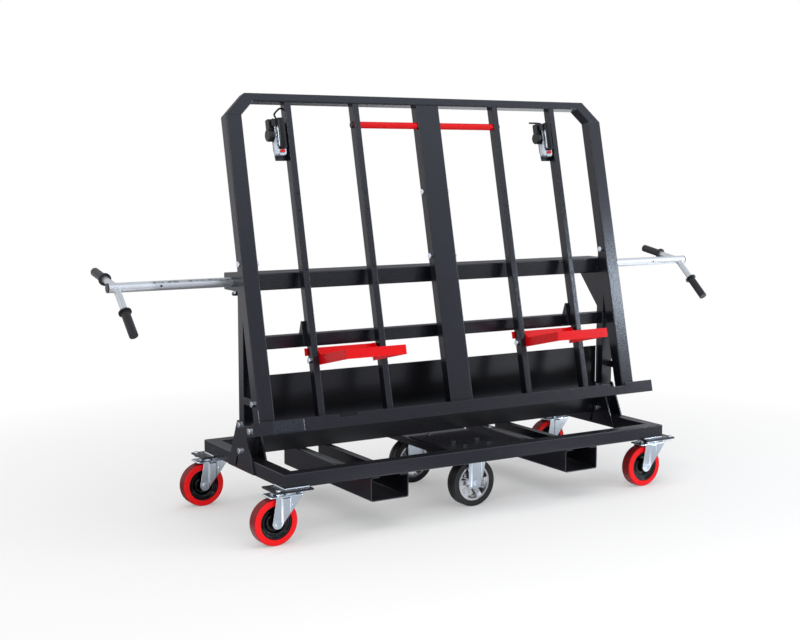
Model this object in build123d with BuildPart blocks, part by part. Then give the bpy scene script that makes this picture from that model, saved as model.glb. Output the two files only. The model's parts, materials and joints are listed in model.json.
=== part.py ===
from build123d import *
import os
from math import cos, radians, sin, tan

# A panel trolley: a welded base on four swivel casters and two fixed centre wheels,
# with a leaning rack, a load tray along its foot and two handles that pull out of a cross bar.
# Millimetres. X runs along the trolley, -Y is the loading side, Z is up, and the floor is z = 0.

# Base frame
base_length = 1664.0
base_depth = 670.0
rail_size = 50.0
rail_wall = 3.0
rail_corner = 4.0
rail_top = 240.0

# Bridge plate over the centre wheels
bridge_length = 280.0
bridge_thickness = 5.0
bridge_flange = 30.0
bridge_bend = 8.0
bridge_drop = 5.0

# Pockets for the forks of a truck
pocket_pitch = 849.0
pocket_width = 153.0
pocket_height = 86.0
pocket_wall = 4.0
pocket_lip = 35.0
pocket_bend = 8.0
pocket_setback = 1.0

# Swivel casters
caster_inset_x = 27.0
caster_inset_y = 31.0
pad_length = 140.0
pad_width = 110.0
pad_thickness = 6.0
plate_length = 105.0
plate_width = 85.0
plate_thickness = 4.0
plate_corner = 8.0
plate_bolt_x = 80.0
plate_bolt_y = 60.0
race_radius = 37.0
race_taper = 4.0
head_clearance = 1.5
kingpin_radius = 8.0
kingpin_flats = 24.0
kingpin_nut_height = 10.0
kingpin_end = 3.0
swivel_gap = 0.3
crown_thickness = 5.0
crown_front = 44.0
crown_back = 82.0
crown_corner = 10.0
fork_thickness = 4.0
fork_bend = 4.0
fork_shoulder_front = 36.0
fork_shoulder_back = 58.0
fork_shoulder_drop = 3.0
fork_foot_radius = 19.0
rib_height = 4.0
rib_taper = 48.0
rib_back = 41.0
rib_front = 6.0
leg_hole_radius = 3.5
leg_hole_x = 1.0
leg_hole_drop = 23.0
caster_trail = 54.0
wheel_diameter = 160.0
wheel_width = 46.0
tread_thickness = 22.0
tread_shoulder = 7.0
hub_width = 60.0
hub_boss_radius = 22.0
hub_step_radius = 38.0
hub_rim_wall = 6.0
hub_rim_inset = 2.0
hub_web = 16.0
hub_step = 28.0
hub_draft = 3.0

# Fixed centre casters
centre_inset_y = 123.0
centre_wheel_diameter = 180.0
centre_wheel_width = 48.0
centre_tyre_thickness = 22.0
centre_tyre_shoulder = 4.0
centre_plate_length = 135.0
centre_plate_width = 110.0
centre_bolt_x = 105.0
centre_bolt_y = 80.0
centre_leg_back = 33.0
centre_leg_front = 54.0
centre_leg_heel = 31.0
centre_leg_toe = 22.0
centre_leg_drop = 18.0
centre_leg_corner = 8.0
centre_rib_back = 24.0
centre_rib_front = 26.0
centre_rib_lift = 4.0
rim_wall = 8.0
rim_width = 44.0
rim_boss_radius = 23.0
rim_boss_width = 60.0
spoke_count = 6
spoke_width = 20.0
spoke_depth = 22.0

# Axles and bolts
axle_radius = 6.0
axle_flats = 19.0
axle_head = 7.0
bolt_radius = 6.0
bolt_flats = 19.0
bolt_head = 8.0
nut_height = 9.0
plate_bolt_radius = 5.0
plate_bolt_flats = 17.0
plate_bolt_head = 7.0
bolt_clearance = 0.25
running_clearance = 0.05
seat_gap = 0.3
side_play = 1.0

# End posts and their foot plates
post_depth = 40.0
post_wall = 3.0
post_top = 940.0
foot_plate_thickness = 6.0
foot_plate_rise = 127.0
foot_plate_lap = 47.0
foot_plate_head = 50.0
foot_plate_foot = 214.0
foot_plate_corner = 8.0
foot_bolt_low = 20.0
foot_bolt_high = 114.0
foot_slot_y = 33.0
foot_slot_length = 40.0
foot_slot_width = 14.0
foot_slot_tilt = 20.0
foot_slot_height = 24.0

# Cross bars, gussets and kick panel
bar_inset = 3.0
bar_depth = 120.0
bar_height = 60.0
bar_bottom = 820.0
bar_wall = 4.0
bar_corner = 5.0
bar_end_wall = 6.0
gusset_thickness = 6.0
gusset_drop = 137.0
lower_bar_height = 45.0
lower_bar_bottom = 615.0
lower_bar_wall = 3.0
kick_thickness = 3.0
kick_height = 278.0
kick_setback = 2.0

# Leaning rack
rack_lean = 13.0
rack_foot_y = -173.0
rack_foot_z = 300.0
rack_top = 1244.0
corner_cut = 80.0
channel_wall = 4.0
channel_depth = 45.0
channel_bend = 4.0
channel_play = 2.0
top_rail_height = 30.0
slat_margin = 244.0
slat_pitch = 279.0
slat_width = 25.0
slat_depth = 36.0
slat_wall = 2.5
slat_corner = 3.0
slat_hole_radius = 3.0
slat_holes = (549.0, 608.0, 821.0, 881.0)
centre_post_width = 100.0
centre_post_depth = 40.0
centre_post_wall = 4.0
centre_post_corner = 4.0
centre_bolts = (641.0, 886.0)
rack_bolt_rise = 640.0
rack_bolt_depth = 22.0
lug_thickness = 8.0
lug_height = 25.0
lug_rise = 154.0
lug_bolt_depth = 34.0
lug_end = 16.0
slat_bracket_width = 46.0
slat_bracket_wall = 5.0
slat_bracket_lap = 38.0
slat_bracket_rise = 50.0
standoff_width = 60.0
standoff_height = 44.0

# Load tray
tray_overhang = 50.0
tray_thickness = 5.0
tray_floor = 47.0
tray_rebate = 1.0
rebate_lead = 3.0
tray_reach = 52.0
tray_lip = 46.0
tray_end = 35.0
notch_width = 75.0
notch_depth = 12.0
notch_insets = (369.0, 176.0)
tray_bolt_forward = 28.0
tray_bolt_rise = 16.0

# Grab bar between the middle slats
grab_radius = 12.5
grab_wall = 2.0
grab_overhang = 1.0
grab_rise = 1139.0
grab_depth = 18.0
plug_flange = 6.0
plug_round = 4.0
plug_spigot = 12.0

# Folding shelves
shelf_reach = 201.0
shelf_bottom = 268.0
shelf_height = 34.0
shelf_sheet = 3.0
shelf_side_gap = 1.0
shelf_spacer = 14.5
shelf_pivot_depth = 20.0
shelf_fold_gap = 1.0
shelf_stop_height = 27.0
shelf_stop_rise = 3.0
shelf_stop_lap = 10.0
shelf_heel = 14.0
spacer_radius = 10.0

# Pull-out handles
handle_radius = 16.85
handle_wall = 2.6
handle_length = 723.0
left_reach = 449.0
right_reach = 477.0
handle_clearance = 0.08
handle_pin_radius = 4.0
handle_pin_inset = 183.0
sleeve_wall = 4.0
sleeve_length = 420.0
arm_radius = 12.0
arm_length = 214.0
arm_inset = 28.0
arm_droop = 16.0
arm_turn = 26.0
grip_length = 104.0
grip_wall = 3.5
grip_flange = 7.0
grip_flange_width = 5.0
grip_end = 3.0
cap_flange = 4.0
cap_spigot = 15.0
lock_inset = 16.0
lock_radius = 5.0
lock_boss_radius = 8.0
lock_boss_height = 12.0
lock_wing_span = 28.0
lock_wing_height = 14.0
lock_wing_thickness = 5.0

# Strap ratchets on the outer slats
ratchet_plate_top = 1146.0
ratchet_plate_bottom = 1007.0
ratchet_plate_depth = 30.0
ratchet_plate_thickness = 4.0
ratchet_foot_width = 43.5
ratchet_foot_height = 38.0
ratchet_side_gap = 17.0
ratchet_width = 31.0
ratchet_sheet = 3.0
ratchet_low = 1018.0
ratchet_high = 1141.0
ratchet_front = 8.0
ratchet_block = 24.0
ratchet_corner = 6.0
ratchet_nose = 13.0
cheek_hole_radius = 3.0
cheek_hole_rise = 1118.0
cheek_slot_length = 15.0
cheek_slot_width = 6.0
cheek_slot_rise = 1083.0
casing_radius = 23.0
casing_width = 25.0
casing_rise = 1096.0
casing_depth = 18.0
casing_edge = 4.0
box_width = 21.5
box_low = 1112.0
box_high = 1152.0
box_front = 3.0
box_corner = 5.0
lever_width = 34.0
lever_thickness = 13.5
lever_round = 6.0
lever_end_round = 4.0
lever_low = 1042.5
lever_high = 1152.0
lever_pivot_rise = 1136.0
lever_pin_radius = 4.0
lever_eye_radius = 7.0
lever_sink = 2.0
button_width = 17.0
button_height = 10.0
button_corner = 2.5
button_rise = 1034.0
button_out = 5.0
button_travel = 3.0
button_stem = 8.0
hook_wire = 2.2
hook_bend = 6.0
hook_foot = 23.5
hook_bow = 9.0
hook_heights = (16.0, 30.0, 52.0)
hook_shoulder = 7.5
hook_arm = 58.0

# Places that follow from the sizes
half_length = base_length / 2
half_depth = base_depth / 2
rail_bottom = rail_top - rail_size
bridge_top = rail_top - bridge_drop
swivel_x = half_length - caster_inset_x
swivel_y = half_depth - caster_inset_y
centre_wheel_y = half_depth - centre_inset_y
corners = {
    "front_left": (-swivel_x, -swivel_y),
    "front_right": (swivel_x, -swivel_y),
    "rear_left": (-swivel_x, swivel_y),
    "rear_right": (swivel_x, swivel_y),
}

# The posts are as wide as the rails, so that the foot plates clamp both
post_width = rail_size
post_inner = half_length - post_width
post_front = -post_depth / 2
post_rear = post_depth / 2
foot_low = rail_top - foot_plate_lap
foot_high = rail_top + foot_plate_rise
bar_half = half_length - bar_inset
bar_rear = post_rear + bar_depth
handle_y = post_rear + bar_depth / 2
handle_z = bar_bottom + bar_height / 2
lower_bar_top = lower_bar_bottom + lower_bar_height

# The uprights are channels that the posts stand inside
upright_width = post_width + channel_play + 2 * channel_wall
rack_half = half_length + channel_wall
upright_top = rack_top - corner_cut
slat_outer = rack_half - slat_margin
slat_inner = slat_outer - slat_pitch
top_inner = rack_top - top_rail_height
corner_inner = rack_half - upright_width - (top_inner - upright_top)
lean = radians(rack_lean)
rack_front = Plane((0, rack_foot_y, rack_foot_z), x_dir=(1, 0, 0), z_dir=(0, -cos(lean), sin(lean)))
rack_side = Plane((0, rack_foot_y, rack_foot_z), x_dir=(0, cos(lean), -sin(lean)), z_dir=(1, 0, 0))


def rack_point(rise, depth):
    """Y and Z of a point so far up the rack's slope and so far behind its front face."""
    y = rack_foot_y + rise * sin(lean) + depth * cos(lean)
    z = rack_foot_z + rise * cos(lean) - depth * sin(lean)
    return y, z


def rack_face(height, depth):
    """Y of the plane so far behind the rack's front face, at a height above the floor."""
    return rack_foot_y + (height - rack_foot_z) * tan(lean) + depth / cos(lean)


rack_seat = tray_floor - tray_rebate
rack_section = Plane((0, *rack_point(rack_seat, 0)), x_dir=(1, 0, 0), z_dir=(0, sin(lean), cos(lean)))
slat_places = (-slat_outer, -slat_inner, slat_inner, slat_outer)

# Folded up, a shelf lies between its slats, just in front of their backs
shelf_top = shelf_bottom + shelf_height
shelf_pivot_rise = shelf_top - slat_depth + shelf_pivot_depth + shelf_fold_gap

# Bolts that hold the rack to the lugs on the posts
lug_y, lug_z = rack_point(lug_rise, lug_bolt_depth)

os.makedirs("parts", exist_ok=True)

# Base rails: square tube, mitred at the corners
with BuildPart() as base_front_rail:
    with BuildSketch(Plane.XY.offset(rail_bottom)):
        with BuildLine():
            Polyline(
                (-half_length, -half_depth),
                (half_length, -half_depth),
                (half_length - rail_size, -half_depth + rail_size),
                (-half_length + rail_size, -half_depth + rail_size),
                close=True,
            )
        make_face()
    extrude(amount=rail_size)
    fillet(base_front_rail.edges().filter_by(Axis.X), rail_corner)
    with BuildSketch(Plane.XY.offset(rail_bottom + rail_wall)):
        with BuildLine():
            Polyline(
                (-half_length + rail_wall, -half_depth + rail_wall),
                (half_length - rail_wall, -half_depth + rail_wall),
                (half_length - rail_size + rail_wall, -half_depth + rail_size - rail_wall),
                (-half_length + rail_size - rail_wall, -half_depth + rail_size - rail_wall),
                close=True,
            )
        make_face()
    extrude(amount=rail_size - 2 * rail_wall, mode=Mode.SUBTRACT)
base_front_rail.part.label = "base_front_rail"
export_step(base_front_rail.part, "parts/base_front_rail.step")

with BuildPart() as base_rear_rail:
    mirror(base_front_rail.part, about=Plane.XZ)
base_rear_rail.part.label = "base_rear_rail"
export_step(base_rear_rail.part, "parts/base_rear_rail.step")

with BuildPart() as base_side_rails:
    with BuildSketch(Plane.XY.offset(rail_bottom)):
        with BuildLine():
            Polyline(
                (half_length, -half_depth),
                (half_length, half_depth),
                (half_length - rail_size, half_depth - rail_size),
                (half_length - rail_size, -half_depth + rail_size),
                close=True,
            )
        make_face()
    extrude(amount=rail_size)
    fillet(base_side_rails.edges().filter_by(Axis.Y), rail_corner)
    with BuildSketch(Plane.XY.offset(rail_bottom + rail_wall)):
        with BuildLine():
            Polyline(
                (half_length - rail_wall, -half_depth + rail_wall),
                (half_length - rail_wall, half_depth - rail_wall),
                (half_length - rail_size + rail_wall, half_depth - rail_size + rail_wall),
                (half_length - rail_size + rail_wall, -half_depth + rail_size - rail_wall),
                close=True,
            )
        make_face()
    extrude(amount=rail_size - 2 * rail_wall, mode=Mode.SUBTRACT)
    mirror(about=Plane.YZ)
base_side_rails.part.label = "base_side_rails"
export_step(base_side_rails.part, "parts/base_side_rails.step")

# Pads welded under the corners for the swivel casters
pad_bottom = rail_bottom - pad_thickness
with BuildPart() as caster_pads:
    with BuildSketch(Plane.XY.offset(pad_bottom)):
        with GridLocations(2 * swivel_x, 2 * swivel_y, 2, 2):
            Rectangle(pad_length, pad_width)
            with GridLocations(plate_bolt_x, plate_bolt_y, 2, 2):
                Circle(plate_bolt_radius + bolt_clearance, mode=Mode.SUBTRACT)
    extrude(amount=pad_thickness)
caster_pads.part.label = "caster_pads"
export_step(caster_pads.part, "parts/caster_pads.step")

# Bridge: a folded plate between the long rails, over the centre wheels
with BuildPart() as centre_bridge:
    with BuildSketch(Plane.XZ) as bridge_profile:
        with Locations((0, bridge_top)):
            Rectangle(bridge_length, bridge_flange, align=(Align.CENTER, Align.MAX))
        fillet(bridge_profile.vertices().group_by(Axis.Y)[-1], bridge_bend)
        with Locations((0, bridge_top - bridge_thickness)):
            Rectangle(
                bridge_length - 2 * bridge_thickness,
                bridge_flange - bridge_thickness,
                align=(Align.CENTER, Align.MAX),
                mode=Mode.SUBTRACT,
            )
    extrude(amount=half_depth - rail_size, both=True)
    with BuildSketch(Plane.XY.offset(bridge_top)):
        with GridLocations(0, 2 * centre_wheel_y, 1, 2):
            with GridLocations(centre_bolt_x, centre_bolt_y, 2, 2):
                Circle(plate_bolt_radius + bolt_clearance)
    extrude(amount=-bridge_thickness, mode=Mode.SUBTRACT)
centre_bridge.part.label = "centre_bridge"
export_step(centre_bridge.part, "parts/centre_bridge.step")

# Fork pockets: lipped channels under the long rails, open along the top
for pocket_name, pocket_x in (
    ("fork_pocket_left", -pocket_pitch / 2),
    ("fork_pocket_right", pocket_pitch / 2),
):
    with BuildPart() as fork_pocket:
        with BuildSketch(Plane.XZ) as pocket_profile:
            with Locations((pocket_x, rail_bottom)):
                Rectangle(pocket_width, pocket_height, align=(Align.CENTER, Align.MAX))
            fillet(pocket_profile.vertices(), pocket_bend)
            with Locations((pocket_x, rail_bottom - pocket_wall)):
                RectangleRounded(
                    pocket_width - 2 * pocket_wall,
                    pocket_height - 2 * pocket_wall,
                    pocket_bend - pocket_wall,
                    align=(Align.CENTER, Align.MAX),
                    mode=Mode.SUBTRACT,
                )
            with Locations((pocket_x, rail_bottom)):
                Rectangle(
                    pocket_width - 2 * pocket_lip,
                    2 * pocket_wall,
                    align=(Align.CENTER, Align.MAX),
                    mode=Mode.SUBTRACT,
                )
        extrude(amount=half_depth - pocket_setback, both=True)
    fork_pocket.part.label = pocket_name
    export_step(fork_pocket.part, f"parts/{pocket_name}.step")

# Foot plates on both sides of each end post
with BuildPart() as foot_plates:
    for plate_x in (half_length, post_inner - foot_plate_thickness):
        with BuildSketch(Plane.YZ.offset(plate_x)) as foot_profile:
            with BuildLine():
                Polyline(
                    (-foot_plate_foot / 2, foot_low),
                    (foot_plate_foot / 2, foot_low),
                    (foot_plate_head / 2, foot_high),
                    (-foot_plate_head / 2, foot_high),
                    close=True,
                )
            make_face()
            fillet(foot_profile.vertices().group_by(Axis.Y)[-1], foot_plate_corner)
            with Locations((0, rail_top + foot_bolt_low), (0, rail_top + foot_bolt_high)):
                Circle(bolt_radius + bolt_clearance, mode=Mode.SUBTRACT)
            with Locations((foot_slot_y, foot_low + foot_slot_height)):
                SlotOverall(
                    foot_slot_length, foot_slot_width, rotation=90 + foot_slot_tilt, mode=Mode.SUBTRACT
                )
        extrude(amount=foot_plate_thickness)
    mirror(about=Plane.YZ)
foot_plates.part.label = "foot_plates"
export_step(foot_plates.part, "parts/foot_plates.step")

# End posts: tube standing on the side rails and reaching up inside the rack's uprights
rack_bolt_y, rack_bolt_z = rack_point(rack_bolt_rise, rack_bolt_depth)
with BuildPart() as end_posts:
    with BuildSketch(Plane.XY.offset(rail_top)):
        with Locations((half_length - post_width / 2, 0)):
            Rectangle(post_width, post_depth)
            Rectangle(post_width - 2 * post_wall, post_depth - 2 * post_wall, mode=Mode.SUBTRACT)
    extrude(amount=post_top - rail_top)
    with BuildSketch(Plane.YZ.offset(half_length)):
        with Locations(
            (0, rail_top + foot_bolt_low),
            (0, rail_top + foot_bolt_high),
            (rack_bolt_y, rack_bolt_z),
        ):
            Circle(bolt_radius + bolt_clearance)
    extrude(amount=-post_width, mode=Mode.SUBTRACT)
    mirror(about=Plane.YZ)
end_posts.part.label = "end_posts"
export_step(end_posts.part, "parts/end_posts.step")

# Upper cross bar: a closed box behind the posts, with a hole in each end for a handle
lock_x = bar_half - lock_inset
with BuildPart() as upper_cross_bar:
    with BuildSketch(Plane.YZ):
        with Locations((handle_y, handle_z)):
            RectangleRounded(bar_depth, bar_height, bar_corner)
    extrude(amount=bar_half, both=True)
    with BuildSketch(Plane.YZ):
        with Locations((handle_y, handle_z)):
            Rectangle(bar_depth - 2 * bar_wall, bar_height - 2 * bar_wall)
    extrude(amount=bar_half - bar_end_wall, both=True, mode=Mode.SUBTRACT)
    with BuildSketch(Plane.YZ):
        with Locations((handle_y, handle_z)):
            Circle(handle_radius + handle_clearance)
    extrude(amount=bar_half, both=True, mode=Mode.SUBTRACT)
    with BuildSketch(Plane.XY.offset(bar_bottom)):
        with Locations((lock_x, handle_y), (-lock_x, handle_y)):
            Circle(lock_radius + running_clearance)
    extrude(amount=bar_wall, mode=Mode.SUBTRACT)
upper_cross_bar.part.label = "upper_cross_bar"
export_step(upper_cross_bar.part, "parts/upper_cross_bar.step")

with BuildPart() as handle_sleeves:
    with BuildSketch(Plane.YZ.offset(bar_half - bar_end_wall)):
        with Locations((handle_y, handle_z)):
            Circle(handle_radius + handle_clearance + sleeve_wall)
            Circle(handle_radius + handle_clearance, mode=Mode.SUBTRACT)
    extrude(amount=-sleeve_length)
    with BuildSketch(Plane.XY.offset(bar_bottom)):
        with Locations((lock_x, handle_y)):
            Circle(lock_radius + running_clearance)
    extrude(amount=bar_height / 2, mode=Mode.SUBTRACT)
    mirror(about=Plane.YZ)
handle_sleeves.part.label = "handle_sleeves"
export_step(handle_sleeves.part, "parts/handle_sleeves.step")

# Lower cross bar between the posts
with BuildPart() as lower_cross_bar:
    with BuildSketch(Plane.YZ):
        with Locations((0, lower_bar_bottom + lower_bar_height / 2)):
            Rectangle(post_depth, lower_bar_height)
            Rectangle(
                post_depth - 2 * lower_bar_wall, lower_bar_height - 2 * lower_bar_wall, mode=Mode.SUBTRACT
            )
    extrude(amount=post_inner, both=True)
lower_cross_bar.part.label = "lower_cross_bar"
export_step(lower_cross_bar.part, "parts/lower_cross_bar.step")

# Kick panel: a sheet between the inner foot plates, standing on the bridge
with BuildPart() as kick_panel:
    with BuildSketch(Plane.YZ):
        with Locations((post_rear - kick_setback, rail_top)):
            Rectangle(kick_thickness, kick_height, align=(Align.MAX, Align.MIN))
    extrude(amount=post_inner - foot_plate_thickness, both=True)
kick_panel.part.label = "kick_panel"
export_step(kick_panel.part, "parts/kick_panel.step")

# Brackets: bar gussets, rack lugs, slat brackets, centre stand-off and ratchet plates
bracket_low = lower_bar_top - slat_bracket_lap
bracket_high = lower_bar_top + slat_bracket_rise
standoff_low = bar_bottom + (bar_height - standoff_height) / 2
standoff_high = standoff_low + standoff_height
ratchet_side = -slat_outer - slat_width / 2
ratchet_plate_width = ratchet_side_gap + ratchet_width
ratchet_pitch = 2 * slat_outer
with BuildPart() as frame_brackets:
    with BuildSketch(Plane.YZ.offset(post_inner)):
        with BuildLine():
            Polyline(
                (post_rear, bar_bottom),
                (bar_rear, bar_bottom),
                (post_rear, bar_bottom - gusset_drop),
                close=True,
            )
        make_face()
    extrude(amount=gusset_thickness)
    with BuildSketch(Plane.YZ.offset(half_length)):
        with Locations((lug_y - lug_end, lug_z)):
            Rectangle(post_front - lug_y + lug_end, lug_height, align=(Align.MIN, Align.CENTER))
        with Locations((lug_y, lug_z)):
            Circle(bolt_radius + bolt_clearance, mode=Mode.SUBTRACT)
    extrude(amount=-lug_thickness)
    mirror(about=Plane.YZ)
    for slat_x in (-slat_outer, slat_outer):
        with BuildSketch(Plane.YZ.offset(slat_x)):
            with BuildLine():
                Polyline(
                    (rack_face(bracket_low, slat_depth), bracket_low),
                    (rack_face(bracket_high, slat_depth), bracket_high),
                    (rack_face(bracket_high, slat_depth) + slat_bracket_wall, bracket_high),
                    (post_front, lower_bar_top),
                    (post_front, bracket_low),
                    close=True,
                )
            make_face()
        extrude(amount=slat_bracket_width / 2, both=True)
        with BuildSketch(Plane.YZ.offset(slat_x)):
            with BuildLine():
                Polyline(
                    (rack_face(bracket_low, slat_depth) + slat_bracket_wall, bracket_low),
                    (rack_face(bracket_high, slat_depth) + slat_bracket_wall, bracket_high),
                    (post_front, bracket_high),
                    (post_front, bracket_low),
                    close=True,
                )
            make_face()
        extrude(amount=slat_bracket_width / 2 - slat_bracket_wall, both=True, mode=Mode.SUBTRACT)
    with BuildSketch(Plane.YZ):
        with BuildLine():
            Polyline(
                (rack_face(standoff_low, centre_post_depth), standoff_low),
                (rack_face(standoff_high, centre_post_depth), standoff_high),
                (post_rear, standoff_high),
                (post_rear, standoff_low),
                close=True,
            )
        make_face()
    extrude(amount=standoff_width / 2, both=True)
    for plate_x in (ratchet_side, ratchet_side + ratchet_pitch):
        with BuildSketch(rack_front.offset(-ratchet_plate_depth)):
            with BuildLine():
                Polyline(
                    (plate_x, ratchet_plate_bottom),
                    (plate_x, ratchet_plate_top),
                    (plate_x - ratchet_plate_width, ratchet_plate_top),
                    (plate_x - ratchet_plate_width, ratchet_plate_bottom + ratchet_foot_height),
                    (plate_x - ratchet_foot_width, ratchet_plate_bottom),
                    close=True,
                )
            make_face()
        extrude(amount=-ratchet_plate_thickness)
frame_brackets.part.label = "frame_brackets"
export_step(frame_brackets.part, "parts/frame_brackets.step")

# Rack uprights: channels open to the rear, so that posts and lugs stand inside them
with BuildPart() as rack_uprights:
    with BuildSketch(rack_section) as upright_outline:
        with Locations((rack_half - upright_width / 2, 0)):
            Rectangle(upright_width, channel_depth, align=(Align.CENTER, Align.MIN))
        fillet(upright_outline.vertices().group_by(Axis.Y)[0], channel_bend)
        with Locations((rack_half - upright_width / 2, channel_wall)):
            Rectangle(
                upright_width - 2 * channel_wall,
                channel_depth - channel_wall,
                align=(Align.CENTER, Align.MIN),
                mode=Mode.SUBTRACT,
            )
    extrude(amount=upright_top - rack_seat)
    with BuildSketch(rack_side.offset(rack_half)):
        with Locations((rack_bolt_depth, rack_bolt_rise)):
            Circle(bolt_radius + bolt_clearance)
    extrude(amount=-upright_width, mode=Mode.SUBTRACT)
    with BuildSketch(rack_side.offset(rack_half)):
        with Locations((lug_bolt_depth, lug_rise)):
            Circle(bolt_radius + bolt_clearance)
    extrude(amount=-channel_wall, mode=Mode.SUBTRACT)
    mirror(about=Plane.YZ)
rack_uprights.part.label = "rack_uprights"
export_step(rack_uprights.part, "parts/rack_uprights.step")

# Rack top: a rail between two slanting corner pieces, open to the rear like the uprights;
# its front edges are bent like theirs, except where it stands on them
rack_forward = Axis(rack_front.origin, rack_front.z_dir)
corner_z = rack_point(upright_top + channel_bend, 0)[1]
with BuildPart() as rack_top_rail:
    for outline in (
        (
            (-rack_half + corner_cut, rack_top),
            (rack_half - corner_cut, rack_top),
            (corner_inner, top_inner),
            (-corner_inner, top_inner),
        ),
        (
            (rack_half, upright_top),
            (rack_half - corner_cut, rack_top),
            (corner_inner, top_inner),
            (rack_half - upright_width, upright_top),
        ),
        (
            (-rack_half, upright_top),
            (-rack_half + corner_cut, rack_top),
            (-corner_inner, top_inner),
            (-rack_half + upright_width, upright_top),
        ),
    ):
        with BuildSketch(rack_front) as top_outline:
            with BuildLine():
                Polyline(*outline, close=True)
            make_face()
        extrude(amount=-channel_depth)
        with BuildSketch(rack_front.offset(-channel_depth)):
            offset(top_outline.sketch_local, amount=-channel_wall, kind=Kind.INTERSECTION)
        extrude(amount=channel_depth - channel_wall, mode=Mode.SUBTRACT)
    top_face = rack_top_rail.faces().sort_by(rack_forward)[-1]
    fillet(top_face.edges().filter_by(lambda edge: edge.center().Z > corner_z), channel_bend)
rack_top_rail.part.label = "rack_top_rail"
export_step(rack_top_rail.part, "parts/rack_top_rail.step")

# Slats: flat tubes with bolt holes, drilled for the grab bar and the shelf pivots
with BuildPart() as rack_slats:
    with BuildSketch(rack_section):
        with Locations([(slat_x, slat_depth / 2) for slat_x in slat_places]):
            RectangleRounded(slat_width, slat_depth, slat_corner)
            Rectangle(slat_width - 2 * slat_wall, slat_depth - 2 * slat_wall, mode=Mode.SUBTRACT)
    extrude(amount=top_inner - rack_seat)
    with BuildSketch(rack_front):
        with Locations([(slat_x, rise) for slat_x in slat_places for rise in slat_holes]):
            Circle(slat_hole_radius)
    extrude(amount=-slat_wall, mode=Mode.SUBTRACT)
    with BuildSketch(rack_side):
        with Locations((shelf_pivot_depth, shelf_pivot_rise)):
            Circle(bolt_radius + bolt_clearance)
    extrude(amount=slat_outer + slat_width, both=True, mode=Mode.SUBTRACT)
    with BuildSketch(rack_side):
        with Locations((grab_depth, grab_rise)):
            Circle(grab_radius + running_clearance)
    extrude(amount=slat_inner + slat_width, both=True, mode=Mode.SUBTRACT)
rack_slats.part.label = "rack_slats"
export_step(rack_slats.part, "parts/rack_slats.step")

with BuildPart() as rack_centre_post:
    with BuildSketch(rack_section):
        with Locations((0, centre_post_depth / 2)):
            RectangleRounded(centre_post_width, centre_post_depth, centre_post_corner)
            Rectangle(
                centre_post_width - 2 * centre_post_wall,
                centre_post_depth - 2 * centre_post_wall,
                mode=Mode.SUBTRACT,
            )
    extrude(amount=top_inner - rack_seat)
    with BuildSketch(rack_side):
        with Locations([(centre_post_depth / 2, rise) for rise in centre_bolts]):
            Circle(bolt_radius + bolt_clearance)
        with Locations((grab_depth, grab_rise)):
            Circle(grab_radius + running_clearance)
    extrude(amount=centre_post_width, both=True, mode=Mode.SUBTRACT)
rack_centre_post.part.label = "rack_centre_post"
export_step(rack_centre_post.part, "parts/rack_centre_post.step")

# Load tray: an angle along the foot of the rack, with closed ends and a notched lip;
# the rack stands in a shallow rebate behind the load floor, which starts a little in front of it
tray_half = rack_half + tray_overhang
notch_places = (-tray_half + notch_insets[0], tray_half - notch_insets[1])
tray_under = tray_floor - tray_thickness
with BuildPart() as load_tray:
    with BuildSketch(rack_side):
        with BuildLine():
            Polyline(
                (-tray_reach, tray_under),
                (channel_depth, tray_under),
                (channel_depth, rack_seat),
                (-rebate_lead, rack_seat),
                (-rebate_lead, tray_floor),
                (-tray_reach + tray_thickness, tray_floor),
                (-tray_reach + tray_thickness, tray_under + tray_lip),
                (-tray_reach, tray_under + tray_lip),
                close=True,
            )
        make_face()
    extrude(amount=tray_half, both=True)
    with BuildSketch(rack_front.offset(tray_reach)):
        with Locations([(place, tray_under + tray_lip) for place in notch_places]):
            Rectangle(notch_width, notch_depth, align=(Align.CENTER, Align.MAX))
    extrude(amount=-tray_thickness, mode=Mode.SUBTRACT)
    for end_x in (-tray_half, tray_half - tray_thickness):
        with BuildSketch(rack_side.offset(end_x)):
            with Locations((channel_depth, rack_seat)):
                Rectangle(
                    tray_reach - tray_thickness + channel_depth,
                    tray_end + tray_rebate,
                    align=(Align.MAX, Align.MIN),
                )
            with Locations((-tray_bolt_forward, tray_floor + tray_bolt_rise)):
                Circle(bolt_radius + bolt_clearance, mode=Mode.SUBTRACT)
        extrude(amount=tray_thickness)
load_tray.part.label = "load_tray"
export_step(load_tray.part, "parts/load_tray.step")

# Grab bar through the middle slats, and its end plugs
grab_half = slat_inner + slat_width / 2 + grab_overhang
with BuildPart() as grab_bar:
    with BuildSketch(rack_side):
        with Locations((grab_depth, grab_rise)):
            Circle(grab_radius)
            Circle(grab_radius - grab_wall, mode=Mode.SUBTRACT)
    extrude(amount=grab_half, both=True)
grab_bar.part.label = "grab_bar"
export_step(grab_bar.part, "parts/grab_bar.step")

with BuildPart() as grab_bar_plugs:
    with BuildSketch(rack_side.offset(grab_half)):
        with Locations((grab_depth, grab_rise)):
            Circle(grab_radius)
    extrude(amount=plug_flange)
    fillet(grab_bar_plugs.edges().group_by(Axis.X)[-1], plug_round)
    with BuildSketch(rack_side.offset(grab_half)):
        with Locations((grab_depth, grab_rise)):
            Circle(grab_radius - grab_wall)
    extrude(amount=-plug_spigot)
    mirror(about=Plane.YZ)
grab_bar_plugs.part.label = "grab_bar_plugs"
export_step(grab_bar_plugs.part, "parts/grab_bar_plugs.step")

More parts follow.
